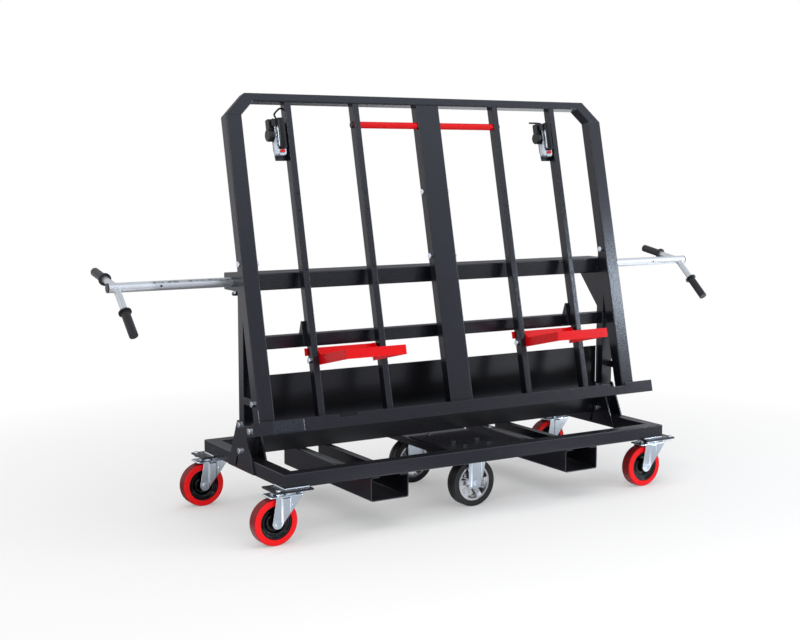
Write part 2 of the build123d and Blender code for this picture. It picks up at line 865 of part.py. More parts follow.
# Folding shelves: a front and two side plates, with a stop flange behind the slats
shelf_left = -slat_outer + slat_width / 2 + shelf_side_gap
shelf_right = -slat_inner - slat_width / 2 - shelf_spacer
shelf_pitch = slat_outer + slat_inner
stop_depth = slat_depth + seat_gap
stop_low = shelf_top + shelf_stop_rise
stop_high = stop_low + shelf_stop_height
for shelf_name, shelf_shift in (("shelf_left", 0.0), ("shelf_right", shelf_pitch)):
    with BuildPart() as shelf:
        for side_x in (shelf_left, shelf_right - shelf_sheet):
            with BuildSketch(rack_side.offset(shelf_shift + side_x)):
                with BuildLine():
                    Polyline(
                        (-shelf_reach, shelf_bottom),
                        (-shelf_reach, shelf_top),
                        (-shelf_heel, shelf_top),
                        (shelf_heel, stop_high),
                        (stop_depth, stop_high),
                        (stop_depth, shelf_top),
                        (shelf_pivot_depth + shelf_heel, shelf_bottom),
                        close=True,
                    )
                make_face()
                with Locations((shelf_pivot_depth, shelf_pivot_rise)):
                    Circle(bolt_radius + running_clearance, mode=Mode.SUBTRACT)
            extrude(amount=shelf_sheet)
        with BuildSketch(rack_front.offset(shelf_reach)):
            with Locations((shelf_shift + shelf_left, shelf_bottom)):
                Rectangle(shelf_right - shelf_left, shelf_height, align=(Align.MIN, Align.MIN))
        extrude(amount=-shelf_sheet)
        with BuildSketch(rack_front.offset(-stop_depth)):
            with Locations((shelf_shift - slat_outer - slat_width / 2 - shelf_stop_lap, stop_low)):
                Rectangle(
                    slat_outer - slat_inner + slat_width + 2 * shelf_stop_lap,
                    shelf_stop_height,
                    align=(Align.MIN, Align.MIN),
                )
        extrude(amount=-shelf_sheet)
    shelf.part.label = shelf_name
    export_step(shelf.part, f"parts/{shelf_name}.step")

# Bolts along X: seat of the head, seat of the nut, place
pivot_y, pivot_z = rack_point(shelf_pivot_rise, shelf_pivot_depth)
tray_bolt_y, tray_bolt_z = rack_point(tray_floor + tray_bolt_rise, -tray_bolt_forward)
cross_bolts = []
for side in (-1, 1):
    for rise in (foot_bolt_low, foot_bolt_high):
        foot_head = side * (half_length + foot_plate_thickness)
        foot_nut = side * (post_inner - foot_plate_thickness)
        cross_bolts.append((foot_head, foot_nut, 0, rail_top + rise))
    cross_bolts.append((side * rack_half, side * (rack_half - upright_width), rack_bolt_y, rack_bolt_z))
    cross_bolts.append((side * rack_half, side * (half_length - lug_thickness), lug_y, lug_z))
    cross_bolts.append((side * tray_half, side * (tray_half - tray_thickness), tray_bolt_y, tray_bolt_z))
for rise in centre_bolts:
    centre_bolt_place = rack_point(rise, centre_post_depth / 2)
    cross_bolts.append((-centre_post_width / 2, centre_post_width / 2, *centre_bolt_place))
shelf_pivots = []
for shift in (0.0, shelf_pitch):
    left_slat = shift - slat_outer
    right_slat = shift - slat_inner
    left_plate = shift + shelf_left
    right_plate = shift + shelf_right
    shelf_pivots.append((left_slat + slat_width / 2, left_plate - seat_gap))
    shelf_pivots.append((right_slat - slat_width / 2, right_plate + seat_gap))
    left_head = left_plate + shelf_sheet + seat_gap
    right_head = right_plate - shelf_sheet - seat_gap
    cross_bolts.append((left_head, left_slat - slat_width / 2, pivot_y, pivot_z))
    cross_bolts.append((right_head, right_slat + slat_width / 2, pivot_y, pivot_z))

with BuildPart() as frame_bolts:
    for head_seat, nut_seat, bolt_y, bolt_z in cross_bolts:
        way = 1 if nut_seat > head_seat else -1
        with BuildSketch(Plane.YZ.offset(head_seat)):
            with Locations((bolt_y, bolt_z)):
                RegularPolygon(bolt_flats / 2, 6, major_radius=False)
        extrude(amount=-way * bolt_head)
        with BuildSketch(Plane.YZ.offset(nut_seat)):
            with Locations((bolt_y, bolt_z)):
                RegularPolygon(bolt_flats / 2, 6, major_radius=False)
        extrude(amount=way * nut_height)
        with BuildSketch(Plane.YZ.offset(head_seat)):
            with Locations((bolt_y, bolt_z)):
                Circle(bolt_radius)
        extrude(amount=nut_seat - head_seat)
    for slat_face, plate_face in shelf_pivots:
        with BuildSketch(Plane.YZ.offset(slat_face)):
            with Locations((pivot_y, pivot_z)):
                Circle(spacer_radius)
        extrude(amount=plate_face - slat_face)
frame_bolts.part.label = "frame_bolts"
export_step(frame_bolts.part, "parts/frame_bolts.step")

# Bolts up through the caster plates, and down through the bridge
with BuildPart() as caster_bolts:
    with BuildSketch(Plane.XY.offset(pad_bottom - plate_thickness)):
        with GridLocations(2 * swivel_x, 2 * swivel_y, 2, 2):
            with GridLocations(plate_bolt_x, plate_bolt_y, 2, 2):
                RegularPolygon(plate_bolt_flats / 2, 6, major_radius=False)
    extrude(amount=-plate_bolt_head)
    with BuildSketch(Plane.XY.offset(pad_bottom - plate_thickness)):
        with GridLocations(2 * swivel_x, 2 * swivel_y, 2, 2):
            with GridLocations(plate_bolt_x, plate_bolt_y, 2, 2):
                Circle(plate_bolt_radius)
    extrude(amount=plate_thickness + pad_thickness)
    with BuildSketch(Plane.XY.offset(bridge_top)):
        with GridLocations(0, 2 * centre_wheel_y, 1, 2):
            with GridLocations(centre_bolt_x, centre_bolt_y, 2, 2):
                RegularPolygon(plate_bolt_flats / 2, 6, major_radius=False)
    extrude(amount=plate_bolt_head)
    with BuildSketch(Plane.XY.offset(bridge_top)):
        with GridLocations(0, 2 * centre_wheel_y, 1, 2):
            with GridLocations(centre_bolt_x, centre_bolt_y, 2, 2):
                Circle(plate_bolt_radius)
    extrude(amount=-bridge_thickness - plate_thickness)
caster_bolts.part.label = "caster_bolts"
export_step(caster_bolts.part, "parts/caster_bolts.step")

# Swivel caster plate with its ball race, kingpin and nut; the race holds the fork clear of the bolt heads
plate_bottom = pad_bottom - plate_thickness
race_height = plate_bolt_head + head_clearance
race_bottom = plate_bottom - race_height
crown_top = race_bottom - swivel_gap
crown_bottom = crown_top - crown_thickness
with BuildPart() as caster_plate:
    with BuildSketch(Plane.XY.offset(plate_bottom)):
        RectangleRounded(plate_length, plate_width, plate_corner)
        with GridLocations(plate_bolt_x, plate_bolt_y, 2, 2):
            Circle(plate_bolt_radius + bolt_clearance, mode=Mode.SUBTRACT)
    extrude(amount=plate_thickness)
    with Locations((0, 0, race_bottom)):
        Cone(
            race_radius - race_taper,
            race_radius,
            race_height,
            align=(Align.CENTER, Align.CENTER, Align.MIN),
        )
    kingpin_length = crown_thickness + 2 * swivel_gap + kingpin_nut_height + kingpin_end
    with Locations((0, 0, race_bottom)):
        Cylinder(kingpin_radius, kingpin_length, align=(Align.CENTER, Align.CENTER, Align.MAX))
    with BuildSketch(Plane.XY.offset(crown_bottom - swivel_gap)):
        RegularPolygon(kingpin_flats / 2, 6, major_radius=False)
    extrude(amount=-kingpin_nut_height)

with BuildPart() as caster_plates:
    with Locations([(x, y, 0) for x, y in corners.values()]):
        add(caster_plate.part)
caster_plates.part.label = "caster_plates"
export_step(caster_plates.part, "parts/caster_plates.step")

# Pressed fork: a crown with two tapered legs, each with a raised rib down to the axle
wheel_radius = wheel_diameter / 2
fork_inside = hub_width / 2 + side_play
fork_outside = fork_inside + fork_thickness
rib_face = fork_outside + rib_height
with BuildPart() as caster_fork:
    with BuildSketch(Plane.XY.offset(crown_bottom)):
        with Locations((-crown_back, 0)):
            RectangleRounded(
                crown_front + crown_back, 2 * fork_outside, crown_corner, align=(Align.MIN, Align.CENTER)
            )
        Circle(kingpin_radius + running_clearance, mode=Mode.SUBTRACT)
    extrude(amount=crown_thickness)
    fillet(caster_fork.faces().sort_by(Axis.Z)[-1].outer_wire().edges(), fork_bend)
    with BuildSketch(Plane.XZ.offset(fork_outside)) as leg_outline:
        with Locations((-caster_trail, wheel_radius)):
            Circle(fork_foot_radius)
        with Locations((-fork_shoulder_back, crown_bottom)):
            Rectangle(
                fork_shoulder_back + fork_shoulder_front,
                fork_shoulder_drop,
                align=(Align.MIN, Align.MAX),
            )
        make_hull()
    extrude(amount=-fork_thickness)
    with BuildSketch(Plane.XZ.offset(fork_outside)):
        with Locations((-rib_back, crown_bottom)):
            Rectangle(rib_back - rib_front, crown_bottom, align=(Align.MIN, Align.MAX))
        add(leg_outline.sketch_local, mode=Mode.INTERSECT)
    extrude(amount=rib_height, taper=rib_taper)
    mirror(about=Plane.XZ)
    with BuildSketch(Plane.XZ.offset(rib_face)):
        with Locations((-caster_trail, wheel_radius)):
            Circle(axle_radius + running_clearance)
        with Locations((leg_hole_x, crown_bottom - leg_hole_drop)):
            Circle(leg_hole_radius)
    extrude(amount=-2 * rib_face, mode=Mode.SUBTRACT)

with BuildPart() as caster_axle:
    with BuildSketch(Plane.XZ.offset(fork_outside)):
        with Locations((-caster_trail, wheel_radius)):
            RegularPolygon(axle_flats / 2, 6, major_radius=False)
    extrude(amount=axle_head)
    with BuildSketch(Plane.XZ.offset(-fork_outside)):
        with Locations((-caster_trail, wheel_radius)):
            RegularPolygon(axle_flats / 2, 6, major_radius=False)
    extrude(amount=-nut_height)
    with BuildSketch(Plane.XZ.offset(fork_outside)):
        with Locations((-caster_trail, wheel_radius)):
            Circle(axle_radius)
    extrude(amount=-2 * fork_outside)

# Wheel: a dished hub under a bonded tread
tread_inner = wheel_radius - tread_thickness
rim_half = wheel_width / 2 - hub_rim_inset
caster_wheel = Plane((-caster_trail, 0, wheel_radius), x_dir=(1, 0, 0), z_dir=(0, 0, 1))
caster_axis = Axis((-caster_trail, 0, wheel_radius), (0, 1, 0))
with BuildPart() as caster_hub:
    with BuildSketch(caster_wheel):
        with BuildLine():
            Polyline(
                (axle_radius + running_clearance, -hub_width / 2),
                (hub_boss_radius - hub_draft, -hub_width / 2),
                (hub_boss_radius, -hub_web / 2),
                (hub_step_radius - hub_draft, -hub_web / 2),
                (hub_step_radius, -hub_step / 2),
                (tread_inner - hub_rim_wall - hub_draft, -hub_step / 2),
                (tread_inner - hub_rim_wall, -rim_half),
                (tread_inner, -rim_half),
                (tread_inner, rim_half),
                (tread_inner - hub_rim_wall, rim_half),
                (tread_inner - hub_rim_wall - hub_draft, hub_step / 2),
                (hub_step_radius, hub_step / 2),
                (hub_step_radius - hub_draft, hub_web / 2),
                (hub_boss_radius, hub_web / 2),
                (hub_boss_radius - hub_draft, hub_width / 2),
                (axle_radius + running_clearance, hub_width / 2),
                close=True,
            )
        make_face()
    revolve(axis=caster_axis)

with BuildPart() as caster_tread:
    with BuildSketch(caster_wheel) as tread_profile:
        with Locations((tread_inner, 0)):
            Rectangle(tread_thickness, wheel_width, align=(Align.MIN, Align.CENTER))
        fillet(tread_profile.vertices().group_by(Axis.X)[-1], tread_shoulder)
    revolve(axis=caster_axis)

for corner, (corner_x, corner_y) in corners.items():
    for piece_name, piece in (
        ("caster_fork", caster_fork),
        ("caster_axle", caster_axle),
        ("caster_hub", caster_hub),
        ("caster_tread", caster_tread),
    ):
        with BuildPart() as caster_piece:
            with Locations((corner_x, corner_y, 0)):
                add(piece.part)
        caster_piece.part.label = f"{piece_name}_{corner}"
        export_step(caster_piece.part, f"parts/{piece_name}_{corner}.step")

# Fixed centre casters: brackets under the bridge
centre_radius = centre_wheel_diameter / 2
bridge_under = bridge_top - bridge_thickness
centre_plate_under = bridge_under - plate_thickness
leg_inside = rim_boss_width / 2 + side_play
leg_outside = leg_inside + fork_thickness
centre_leg_low = centre_radius - centre_leg_drop
with BuildPart() as centre_bracket:
    with BuildSketch(Plane.XY.offset(centre_plate_under)):
        RectangleRounded(centre_plate_length, centre_plate_width, plate_corner)
        with GridLocations(centre_bolt_x, centre_bolt_y, 2, 2):
            Circle(plate_bolt_radius + bolt_clearance, mode=Mode.SUBTRACT)
    extrude(amount=plate_thickness)
    with BuildSketch(Plane.XZ.offset(leg_outside)) as centre_leg:
        with BuildLine():
            Polyline(
                (-centre_leg_back, centre_plate_under),
                (centre_leg_front, centre_plate_under),
                (centre_leg_toe, centre_leg_low),
                (-centre_leg_heel, centre_leg_low),
                close=True,
            )
        make_face()
        fillet(centre_leg.vertices().group_by(Axis.Y)[0], centre_leg_corner)
    extrude(amount=-fork_thickness)
    with BuildSketch(Plane.XZ.offset(leg_outside)):
        with Locations((-centre_rib_back, centre_plate_under)):
            Rectangle(
                centre_rib_back + centre_rib_front,
                centre_plate_under - centre_leg_low - centre_rib_lift,
                align=(Align.MIN, Align.MAX),
            )
        add(centre_leg.sketch_local, mode=Mode.INTERSECT)
    extrude(amount=rib_height, taper=rib_taper)
    mirror(about=Plane.XZ)
    with BuildSketch(Plane.XZ.offset(leg_outside + rib_height)):
        with Locations((0, centre_radius)):
            Circle(axle_radius + running_clearance)
    extrude(amount=-2 * (leg_outside + rib_height), mode=Mode.SUBTRACT)

centre_rib_face = leg_outside + rib_height
with BuildPart() as centre_axle:
    with BuildSketch(Plane.XZ.offset(centre_rib_face)):
        with Locations((0, centre_radius)):
            RegularPolygon(axle_flats / 2, 6, major_radius=False)
    extrude(amount=axle_head)
    with BuildSketch(Plane.XZ.offset(-centre_rib_face)):
        with Locations((0, centre_radius)):
            RegularPolygon(axle_flats / 2, 6, major_radius=False)
    extrude(amount=-nut_height)
    with BuildSketch(Plane.XZ.offset(centre_rib_face)):
        with Locations((0, centre_radius)):
            Circle(axle_radius)
    extrude(amount=-2 * centre_rib_face)

with BuildPart() as centre_brackets:
    with Locations((0, -centre_wheel_y, 0), (0, centre_wheel_y, 0)):
        add(centre_bracket.part)
centre_brackets.part.label = "centre_brackets"
export_step(centre_brackets.part, "parts/centre_brackets.step")

with BuildPart() as centre_axles:
    with Locations((0, -centre_wheel_y, 0), (0, centre_wheel_y, 0)):
        add(centre_axle.part)
centre_axles.part.label = "centre_axles"
export_step(centre_axles.part, "parts/centre_axles.step")

# Centre wheel: a spoked cast rim in a rubber tyre
rim_radius = centre_radius - centre_tyre_thickness
centre_wheel = Plane((0, 0, centre_radius), x_dir=(1, 0, 0), z_dir=(0, 0, 1))
centre_axis = Axis((0, 0, centre_radius), (0, 1, 0))
spoke_length = rim_radius - rim_wall / 2
with BuildPart() as centre_rim:
    with BuildSketch(Plane((0, 0, centre_radius), x_dir=(1, 0, 0), z_dir=(0, -1, 0))):
        with PolarLocations(0, spoke_count):
            Rectangle(spoke_length, spoke_width, align=(Align.MIN, Align.CENTER))
    extrude(amount=spoke_depth / 2, both=True)
    with BuildSketch(centre_wheel):
        with Locations((rim_radius, 0)):
            Rectangle(rim_wall, rim_width, align=(Align.MAX, Align.CENTER))
        Rectangle(rim_boss_radius, rim_boss_width, align=(Align.MIN, Align.CENTER))
    revolve(axis=centre_axis)
    with BuildSketch(Plane.XZ.offset(rim_boss_width / 2)):
        with Locations((0, centre_radius)):
            Circle(axle_radius + running_clearance)
    extrude(amount=-rim_boss_width, mode=Mode.SUBTRACT)

with BuildPart() as centre_tyre:
    with BuildSketch(centre_wheel) as tyre_profile:
        with Locations((rim_radius, 0)):
            Rectangle(centre_tyre_thickness, centre_wheel_width, align=(Align.MIN, Align.CENTER))
        fillet(tyre_profile.vertices().group_by(Axis.X)[-1], centre_tyre_shoulder)
    revolve(axis=centre_axis)

for place, place_y in (("front", -centre_wheel_y), ("rear", centre_wheel_y)):
    for piece_name, piece in (("centre_rim", centre_rim), ("centre_tyre", centre_tyre)):
        with BuildPart() as centre_piece:
            with Locations((0, place_y, 0)):
                add(piece.part)
        centre_piece.part.label = f"{piece_name}_{place}"
        export_step(centre_piece.part, f"parts/{piece_name}_{place}.step")

# Handle: a tube that slides in the cross bar, with two drooping arms welded across its end;
# it is drawn pushed home, with its end level with the end of the bar
arm_x = bar_half - arm_inset
front_arm = radians(180 + arm_turn + arm_droop)
rear_arm = radians(arm_turn - arm_droop)
arm_planes = [
    Plane((arm_x, handle_y, handle_z), x_dir=(1, 0, 0), z_dir=(0, cos(turn), sin(turn)))
    for turn in (front_arm, rear_arm)
]
with BuildPart() as handle:
    for arm_plane in arm_planes:
        with BuildSketch(arm_plane):
            Circle(arm_radius)
        extrude(amount=arm_length)
    with BuildSketch(Plane.YZ.offset(bar_half)):
        with Locations((handle_y, handle_z)):
            Circle(handle_radius)
    extrude(amount=-handle_length)
    with BuildSketch(Plane.YZ.offset(bar_half)):
        with Locations((handle_y, handle_z)):
            Circle(handle_radius - handle_wall)
    extrude(amount=-handle_length, mode=Mode.SUBTRACT)
    with BuildSketch(Plane.XZ.offset(-handle_y)):
        with Locations((bar_half - handle_pin_inset, handle_z)):
            Circle(handle_pin_radius)
    extrude(amount=2 * handle_radius, both=True, mode=Mode.SUBTRACT)

# Grips: sleeves with an inner flange, and a cap in the end of the tube
with BuildPart() as handle_grips:
    for arm_plane in arm_planes:
        with BuildSketch(arm_plane.offset(arm_length - grip_length)):
            Circle(arm_radius + grip_wall + grip_flange)
        extrude(amount=grip_flange_width)
        with BuildSketch(arm_plane.offset(arm_length - grip_length)):
            Circle(arm_radius + grip_wall)
        extrude(amount=grip_length + grip_end)
        with BuildSketch(arm_plane.offset(arm_length - grip_length)):
            Circle(arm_radius)
        extrude(amount=grip_length, mode=Mode.SUBTRACT)
    with BuildSketch(Plane.YZ.offset(bar_half)):
        with Locations((handle_y, handle_z)):
            Circle(handle_radius)
    extrude(amount=cap_flange)
    with BuildSketch(Plane.YZ.offset(bar_half)):
        with Locations((handle_y, handle_z)):
            Circle(handle_radius - handle_wall)
    extrude(amount=-cap_spigot)

# Both handles are pulled out, the right one a little further
for piece_name, piece in (("handle", handle), ("handle_grips", handle_grips)):
    with BuildPart() as pulled_right:
        with Locations((right_reach, 0, 0)):
            add(piece.part)
    pulled_right.part.label = f"{piece_name}_right"
    export_step(pulled_right.part, f"parts/{piece_name}_right.step")
    with BuildPart() as turned_left:
        mirror(piece.part, about=Plane.YZ)
    with BuildPart() as pulled_left:
        with Locations((-left_reach, 0, 0)):
            add(turned_left.part)
    pulled_left.part.label = f"{piece_name}_left"
    export_step(pulled_left.part, f"parts/{piece_name}_left.step")

# Wing screws that clamp the handles from below
lock_tip = handle_z - handle_radius - seat_gap
lock_top = bar_bottom - seat_gap
with BuildPart() as lock_screw_right:
    with BuildSketch(Plane.XY.offset(lock_tip)):
        with Locations((lock_x, handle_y)):
            Circle(lock_radius)
    extrude(amount=lock_top - lock_tip)
    with BuildSketch(Plane.XY.offset(lock_top)):
        with Locations((lock_x, handle_y)):
            Circle(lock_boss_radius)
    extrude(amount=-lock_boss_height)
    with BuildSketch(Plane.XZ.offset(-handle_y)):
        with Locations((lock_x, lock_top - lock_boss_height)):
            SlotOverall(lock_wing_span, lock_wing_height)
    extrude(amount=lock_wing_thickness / 2, both=True)
lock_screw_right.part.label = "lock_screw_right"
export_step(lock_screw_right.part, "parts/lock_screw_right.step")

with BuildPart() as lock_screw_left:
    mirror(lock_screw_right.part, about=Plane.YZ)
lock_screw_left.part.label = "lock_screw_left"
export_step(lock_screw_left.part, "parts/lock_screw_left.step")

# Strap ratchet: two cheeks on a base plate, and a round nose between them for the release button
ratchet_right = ratchet_side - ratchet_side_gap
ratchet_left = ratchet_right - ratchet_width
ratchet_middle = (ratchet_left + ratchet_right) / 2
ratchet_back = ratchet_plate_depth
cheek_low = ratchet_low + ratchet_nose
with BuildPart() as ratchet_frame:
    for cheek_x in (ratchet_left, ratchet_right - ratchet_sheet):
        with BuildSketch(rack_side.offset(cheek_x)) as cheek_outline:
            with Locations((ratchet_back, cheek_low)):
                Rectangle(
                    ratchet_back + ratchet_front,
                    ratchet_high - cheek_low,
                    align=(Align.MAX, Align.MIN),
                )
            fillet(cheek_outline.vertices().group_by(Axis.X)[0], ratchet_corner)
            with Locations((0, cheek_hole_rise)):
                Circle(cheek_hole_radius, mode=Mode.SUBTRACT)
            with Locations((0, cheek_slot_rise)):
                SlotOverall(cheek_slot_length, cheek_slot_width, rotation=90, mode=Mode.SUBTRACT)
        extrude(amount=ratchet_sheet)
    with BuildSketch(rack_side.offset(ratchet_left)):
        with Locations((ratchet_back, cheek_low)):
            Rectangle(ratchet_sheet, ratchet_high - cheek_low, align=(Align.MAX, Align.MIN))
    extrude(amount=ratchet_width)
    with BuildSketch(rack_front.offset(ratchet_front)) as nose_outline:
        with Locations((ratchet_middle, ratchet_low)):
            Rectangle(ratchet_width, ratchet_block, align=(Align.CENTER, Align.MIN))
        fillet(nose_outline.vertices().group_by(Axis.Y)[0], ratchet_nose)
    extrude(amount=-ratchet_front - ratchet_back)
    with BuildSketch(rack_front.offset(ratchet_front)):
        with Locations((ratchet_middle, button_rise)):
            RectangleRounded(
                button_width + 2 * running_clearance,
                button_height + 2 * running_clearance,
                button_corner + running_clearance,
            )
    extrude(amount=-button_stem - button_travel - seat_gap, mode=Mode.SUBTRACT)
    with BuildSketch(rack_side.offset(ratchet_left)):
        with Locations((0, lever_pivot_rise)):
            Circle(lever_pin_radius)
    extrude(amount=ratchet_width)

with BuildPart() as ratchet_frames:
    with Locations((0, 0, 0), (ratchet_pitch, 0, 0)):
        add(ratchet_frame.part)
ratchet_frames.part.label = "ratchet_frames"
export_step(ratchet_frames.part, "parts/ratchet_frames.step")

# Strap casing on the left cheek: a drum under a box
with BuildPart() as ratchet_casing:
    with BuildSketch(rack_side.offset(ratchet_left)):
        with Locations((casing_depth, casing_rise)):
            Circle(casing_radius)
    extrude(amount=-casing_width)
    fillet(ratchet_casing.edges().group_by(Axis.X)[0], casing_edge)
    with BuildSketch(rack_side.offset(ratchet_left)) as box_outline:
        with Locations((ratchet_back, box_low)):
            Rectangle(ratchet_back - box_front, box_high - box_low, align=(Align.MAX, Align.MIN))
        fillet(box_outline.vertices(), box_corner)
    extrude(amount=-box_width)

# Strap hooks of bent wire on the plates: the left one leans on its slat, the right one lies to the left
hook_plane = rack_front.offset(-ratchet_plate_depth - ratchet_plate_thickness / 2)
hook_x = ratchet_side - hook_foot
hook_low, hook_middle, hook_high = (ratchet_plate_top + height for height in hook_heights)
with BuildPart() as hook_left:
    with BuildLine(hook_plane) as hook_left_path:
        FilletPolyline(
            (hook_x, ratchet_plate_top),
            (hook_x, hook_low),
            (hook_x - hook_bow, hook_middle),
            (ratchet_side - hook_shoulder, hook_high),
            (ratchet_side, hook_high),
            radius=hook_bend,
        )
    with BuildSketch(Plane(hook_left_path.line @ 0, z_dir=hook_left_path.line % 0)):
        Circle(hook_wire)
    sweep()

with BuildPart() as hook_right:
    with BuildLine(hook_plane) as hook_right_path:
        FilletPolyline(
            (hook_x + ratchet_pitch, ratchet_plate_top),
            (hook_x + ratchet_pitch, hook_low),
            (hook_x + ratchet_pitch - hook_arm, hook_low),
            radius=hook_bend,
        )
    with BuildSketch(Plane(hook_right_path.line @ 0, z_dir=hook_right_path.line % 0)):
        Circle(hook_wire)
    sweep()

with BuildPart() as ratchet_casings:
    with Locations((0, 0, 0), (ratchet_pitch, 0, 0)):
        add(ratchet_casing.part)
    add(hook_left.part)
    add(hook_right.part)
ratchet_casings.part.label = "ratchet_casings"
export_step(ratchet_casings.part, "parts/ratchet_casings.step")

# Ratchet lever: a rounded bar in front of the cheeks, with an eye between them on the pin
lever_foot = (0, *rack_point(lever_low, -ratchet_front - seat_gap - lever_thickness / 2))
lever_section = Plane(lever_foot, x_dir=(1, 0, 0), z_dir=(0, sin(lean), cos(lean)))
lever_eye_width = ratchet_width - 2 * ratchet_sheet - 2 * seat_gap
with BuildPart() as ratchet_lever:
    with BuildSketch(lever_section):
        with Locations((ratchet_left + seat_gap + lever_width / 2, 0)):
            RectangleRounded(lever_width, lever_thickness, lever_round)
    extrude(amount=lever_high - lever_low)
    fillet(ratchet_lever.faces().sort_by(Axis.Z)[-1].edges(), lever_end_round)
    fillet(ratchet_lever.faces().sort_by(Axis.Z)[0].edges(), lever_end_round)
    with BuildSketch(rack_side.offset(ratchet_left + ratchet_sheet + seat_gap)):
        with Locations((0, lever_pivot_rise)):
            Circle(lever_eye_radius)
            Rectangle(
                ratchet_front + seat_gap + lever_sink,
                2 * lever_eye_radius,
                align=(Align.MAX, Align.CENTER),
            )
            Circle(lever_pin_radius + running_clearance, mode=Mode.SUBTRACT)
    extrude(amount=lever_eye_width)

with BuildPart() as release_button:
    with BuildSketch(rack_front.offset(ratchet_front + button_out)):
        with Locations((ratchet_middle, button_rise)):
            RectangleRounded(button_width, button_height, button_corner)
    extrude(amount=-button_out - button_stem)

for side_name, shift in (("left", 0.0), ("right", ratchet_pitch)):
    for piece_name, piece in (("ratchet_lever", ratchet_lever), ("release_button", release_button)):
        with BuildPart() as ratchet_piece:
            with Locations((shift, 0, 0)):
                add(piece.part)
        ratchet_piece.part.label = f"{piece_name}_{side_name}"
        export_step(ratchet_piece.part, f"parts/{piece_name}_{side_name}.step")
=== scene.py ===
# %% [markdown]
# # A panel trolley, dressed on its imported model
# The imported model is the trolley's real shape, in metres, with the floor at z = 0, so it is loaded first.

# %% Load the imported model
import json
from math import cos, pi, radians, sin, sqrt

import bmesh
import bpy
from mathutils import Euler, Matrix, Vector, noise


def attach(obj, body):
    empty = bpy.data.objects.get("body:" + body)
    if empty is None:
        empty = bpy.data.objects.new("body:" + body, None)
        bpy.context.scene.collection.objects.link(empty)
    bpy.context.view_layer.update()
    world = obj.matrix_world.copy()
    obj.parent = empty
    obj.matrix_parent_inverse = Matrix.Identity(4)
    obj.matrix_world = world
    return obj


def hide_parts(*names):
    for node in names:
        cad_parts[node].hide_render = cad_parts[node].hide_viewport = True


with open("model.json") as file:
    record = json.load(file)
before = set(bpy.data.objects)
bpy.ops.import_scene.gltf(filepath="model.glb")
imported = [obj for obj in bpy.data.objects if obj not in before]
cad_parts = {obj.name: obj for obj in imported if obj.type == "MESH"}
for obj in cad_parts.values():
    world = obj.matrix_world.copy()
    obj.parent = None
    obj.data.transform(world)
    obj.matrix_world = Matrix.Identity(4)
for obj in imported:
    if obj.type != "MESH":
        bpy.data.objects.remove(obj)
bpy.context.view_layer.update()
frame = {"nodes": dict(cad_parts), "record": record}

nodes = frame["nodes"]

# %% [markdown]
# ## The camera
# The photograph was taken from the loading side, a little to the left, from about chest height and
# several metres away. The place, the turn and the lens were worked out from the trolley's own straight
# edges.

# %% Camera
scene = bpy.context.scene
scene.view_settings.view_transform = "Standard"
sensor_width = 36.0
focal_pixels = 1336.5
picture_width = 800.0
tilt_down, heading_right, roll = 6.851, 31.387, 0.095
camera_data = bpy.data.cameras.new("camera")
camera_data.sensor_fit = "HORIZONTAL"
camera_data.sensor_width = sensor_width
camera_data.lens = focal_pixels * sensor_width / picture_width
camera = bpy.data.objects.new("camera", camera_data)
camera.location = (-2.7637, -4.2339, 1.2798)
aim = Euler((radians(90 - tilt_down), 0, radians(-heading_right))).to_matrix()
camera.rotation_euler = (aim @ Matrix.Rotation(radians(roll), 3, "Z")).to_euler()
scene.collection.objects.link(camera)
scene.camera = camera
print("lens", round(camera_data.lens, 2), "mm")

# %% [markdown]
# ## Small tools for node trees
# Every finish below is a tree of shader nodes. The first helpers feed an input, add a node with its
# values, do sums, and mix two colours or two shaders.

# %% Node helpers
def join(tree, source, target):
    """Links a socket to an input, or sets the input to a plain value."""
    if isinstance(source, bpy.types.NodeSocket):
        tree.links.new(source, target)
    else:
        target.default_value = source


def put(tree, kind, **values):
    """Adds a shader node. A value goes to its property of that name, or else to its input."""
    node = tree.nodes.new("ShaderNode" + kind)
    for name, value in values.items():
        if hasattr(node, name):
            setattr(node, name, value)
        else:
            join(tree, value, node.inputs[name.replace("_", " ")])
    return node


def maths(tree, operation, *values):
    """A Math node. Its inputs are sockets or numbers."""
    node = put(tree, "Math", operation=operation)
    for slot, value in enumerate(values):
        join(tree, value, node.inputs[slot])
    return node.outputs[0]


def times(tree, product, *factors):
    """The product of several values. Of masks, it is the part that they share."""
    for factor in factors:
        product = maths(tree, "MULTIPLY", product, factor)
    return product


def blend(tree, mask, first, second):
    """A colour that goes from the first to the second as the mask goes from 0 to 1."""
    node = put(tree, "Mix", data_type="RGBA", Factor=mask)
    for slot, colour in ((6, first), (7, second)):
        if isinstance(colour, tuple):
            colour = (*colour, 1.0)
        join(tree, colour, node.inputs[slot])
    return node.outputs[2]


def mix_shaders(tree, mask, first, second):
    """The first shader where the mask is 0, and the second where it is 1."""
    node = put(tree, "MixShader")
    for slot, source in enumerate((mask, first, second)):
        join(tree, source, node.inputs[slot])
    return node.outputs[0]


print("node helpers ready")

# %% [markdown]
# The other helpers say where something is. A place or a normal is read and split into its X, Y and Z. A
# range of such a number becomes a mask that is 0 at one end and 1 at the other, and noise is read at a
# place.

# %% Mask helpers
def here(tree, kind="Object"):
    """The place on the surface in its object's own space, or another texture coordinate."""
    return put(tree, "TexCoord").outputs[kind]


def axes_of(tree, vector):
    """The X, Y and Z of a vector."""
    return tuple(put(tree, "SeparateXYZ", Vector=vector).outputs)


def spread(tree, value, low, high, to_low=0.0, to_high=1.0):
    """Stretches a range of a value to another range, and clamps it there. Low may be above high."""
    ends = {"From_Min": low, "From_Max": high, "To_Min": to_low, "To_Max": to_high}
    return put(tree, "MapRange", Value=value, **ends).outputs["Result"]


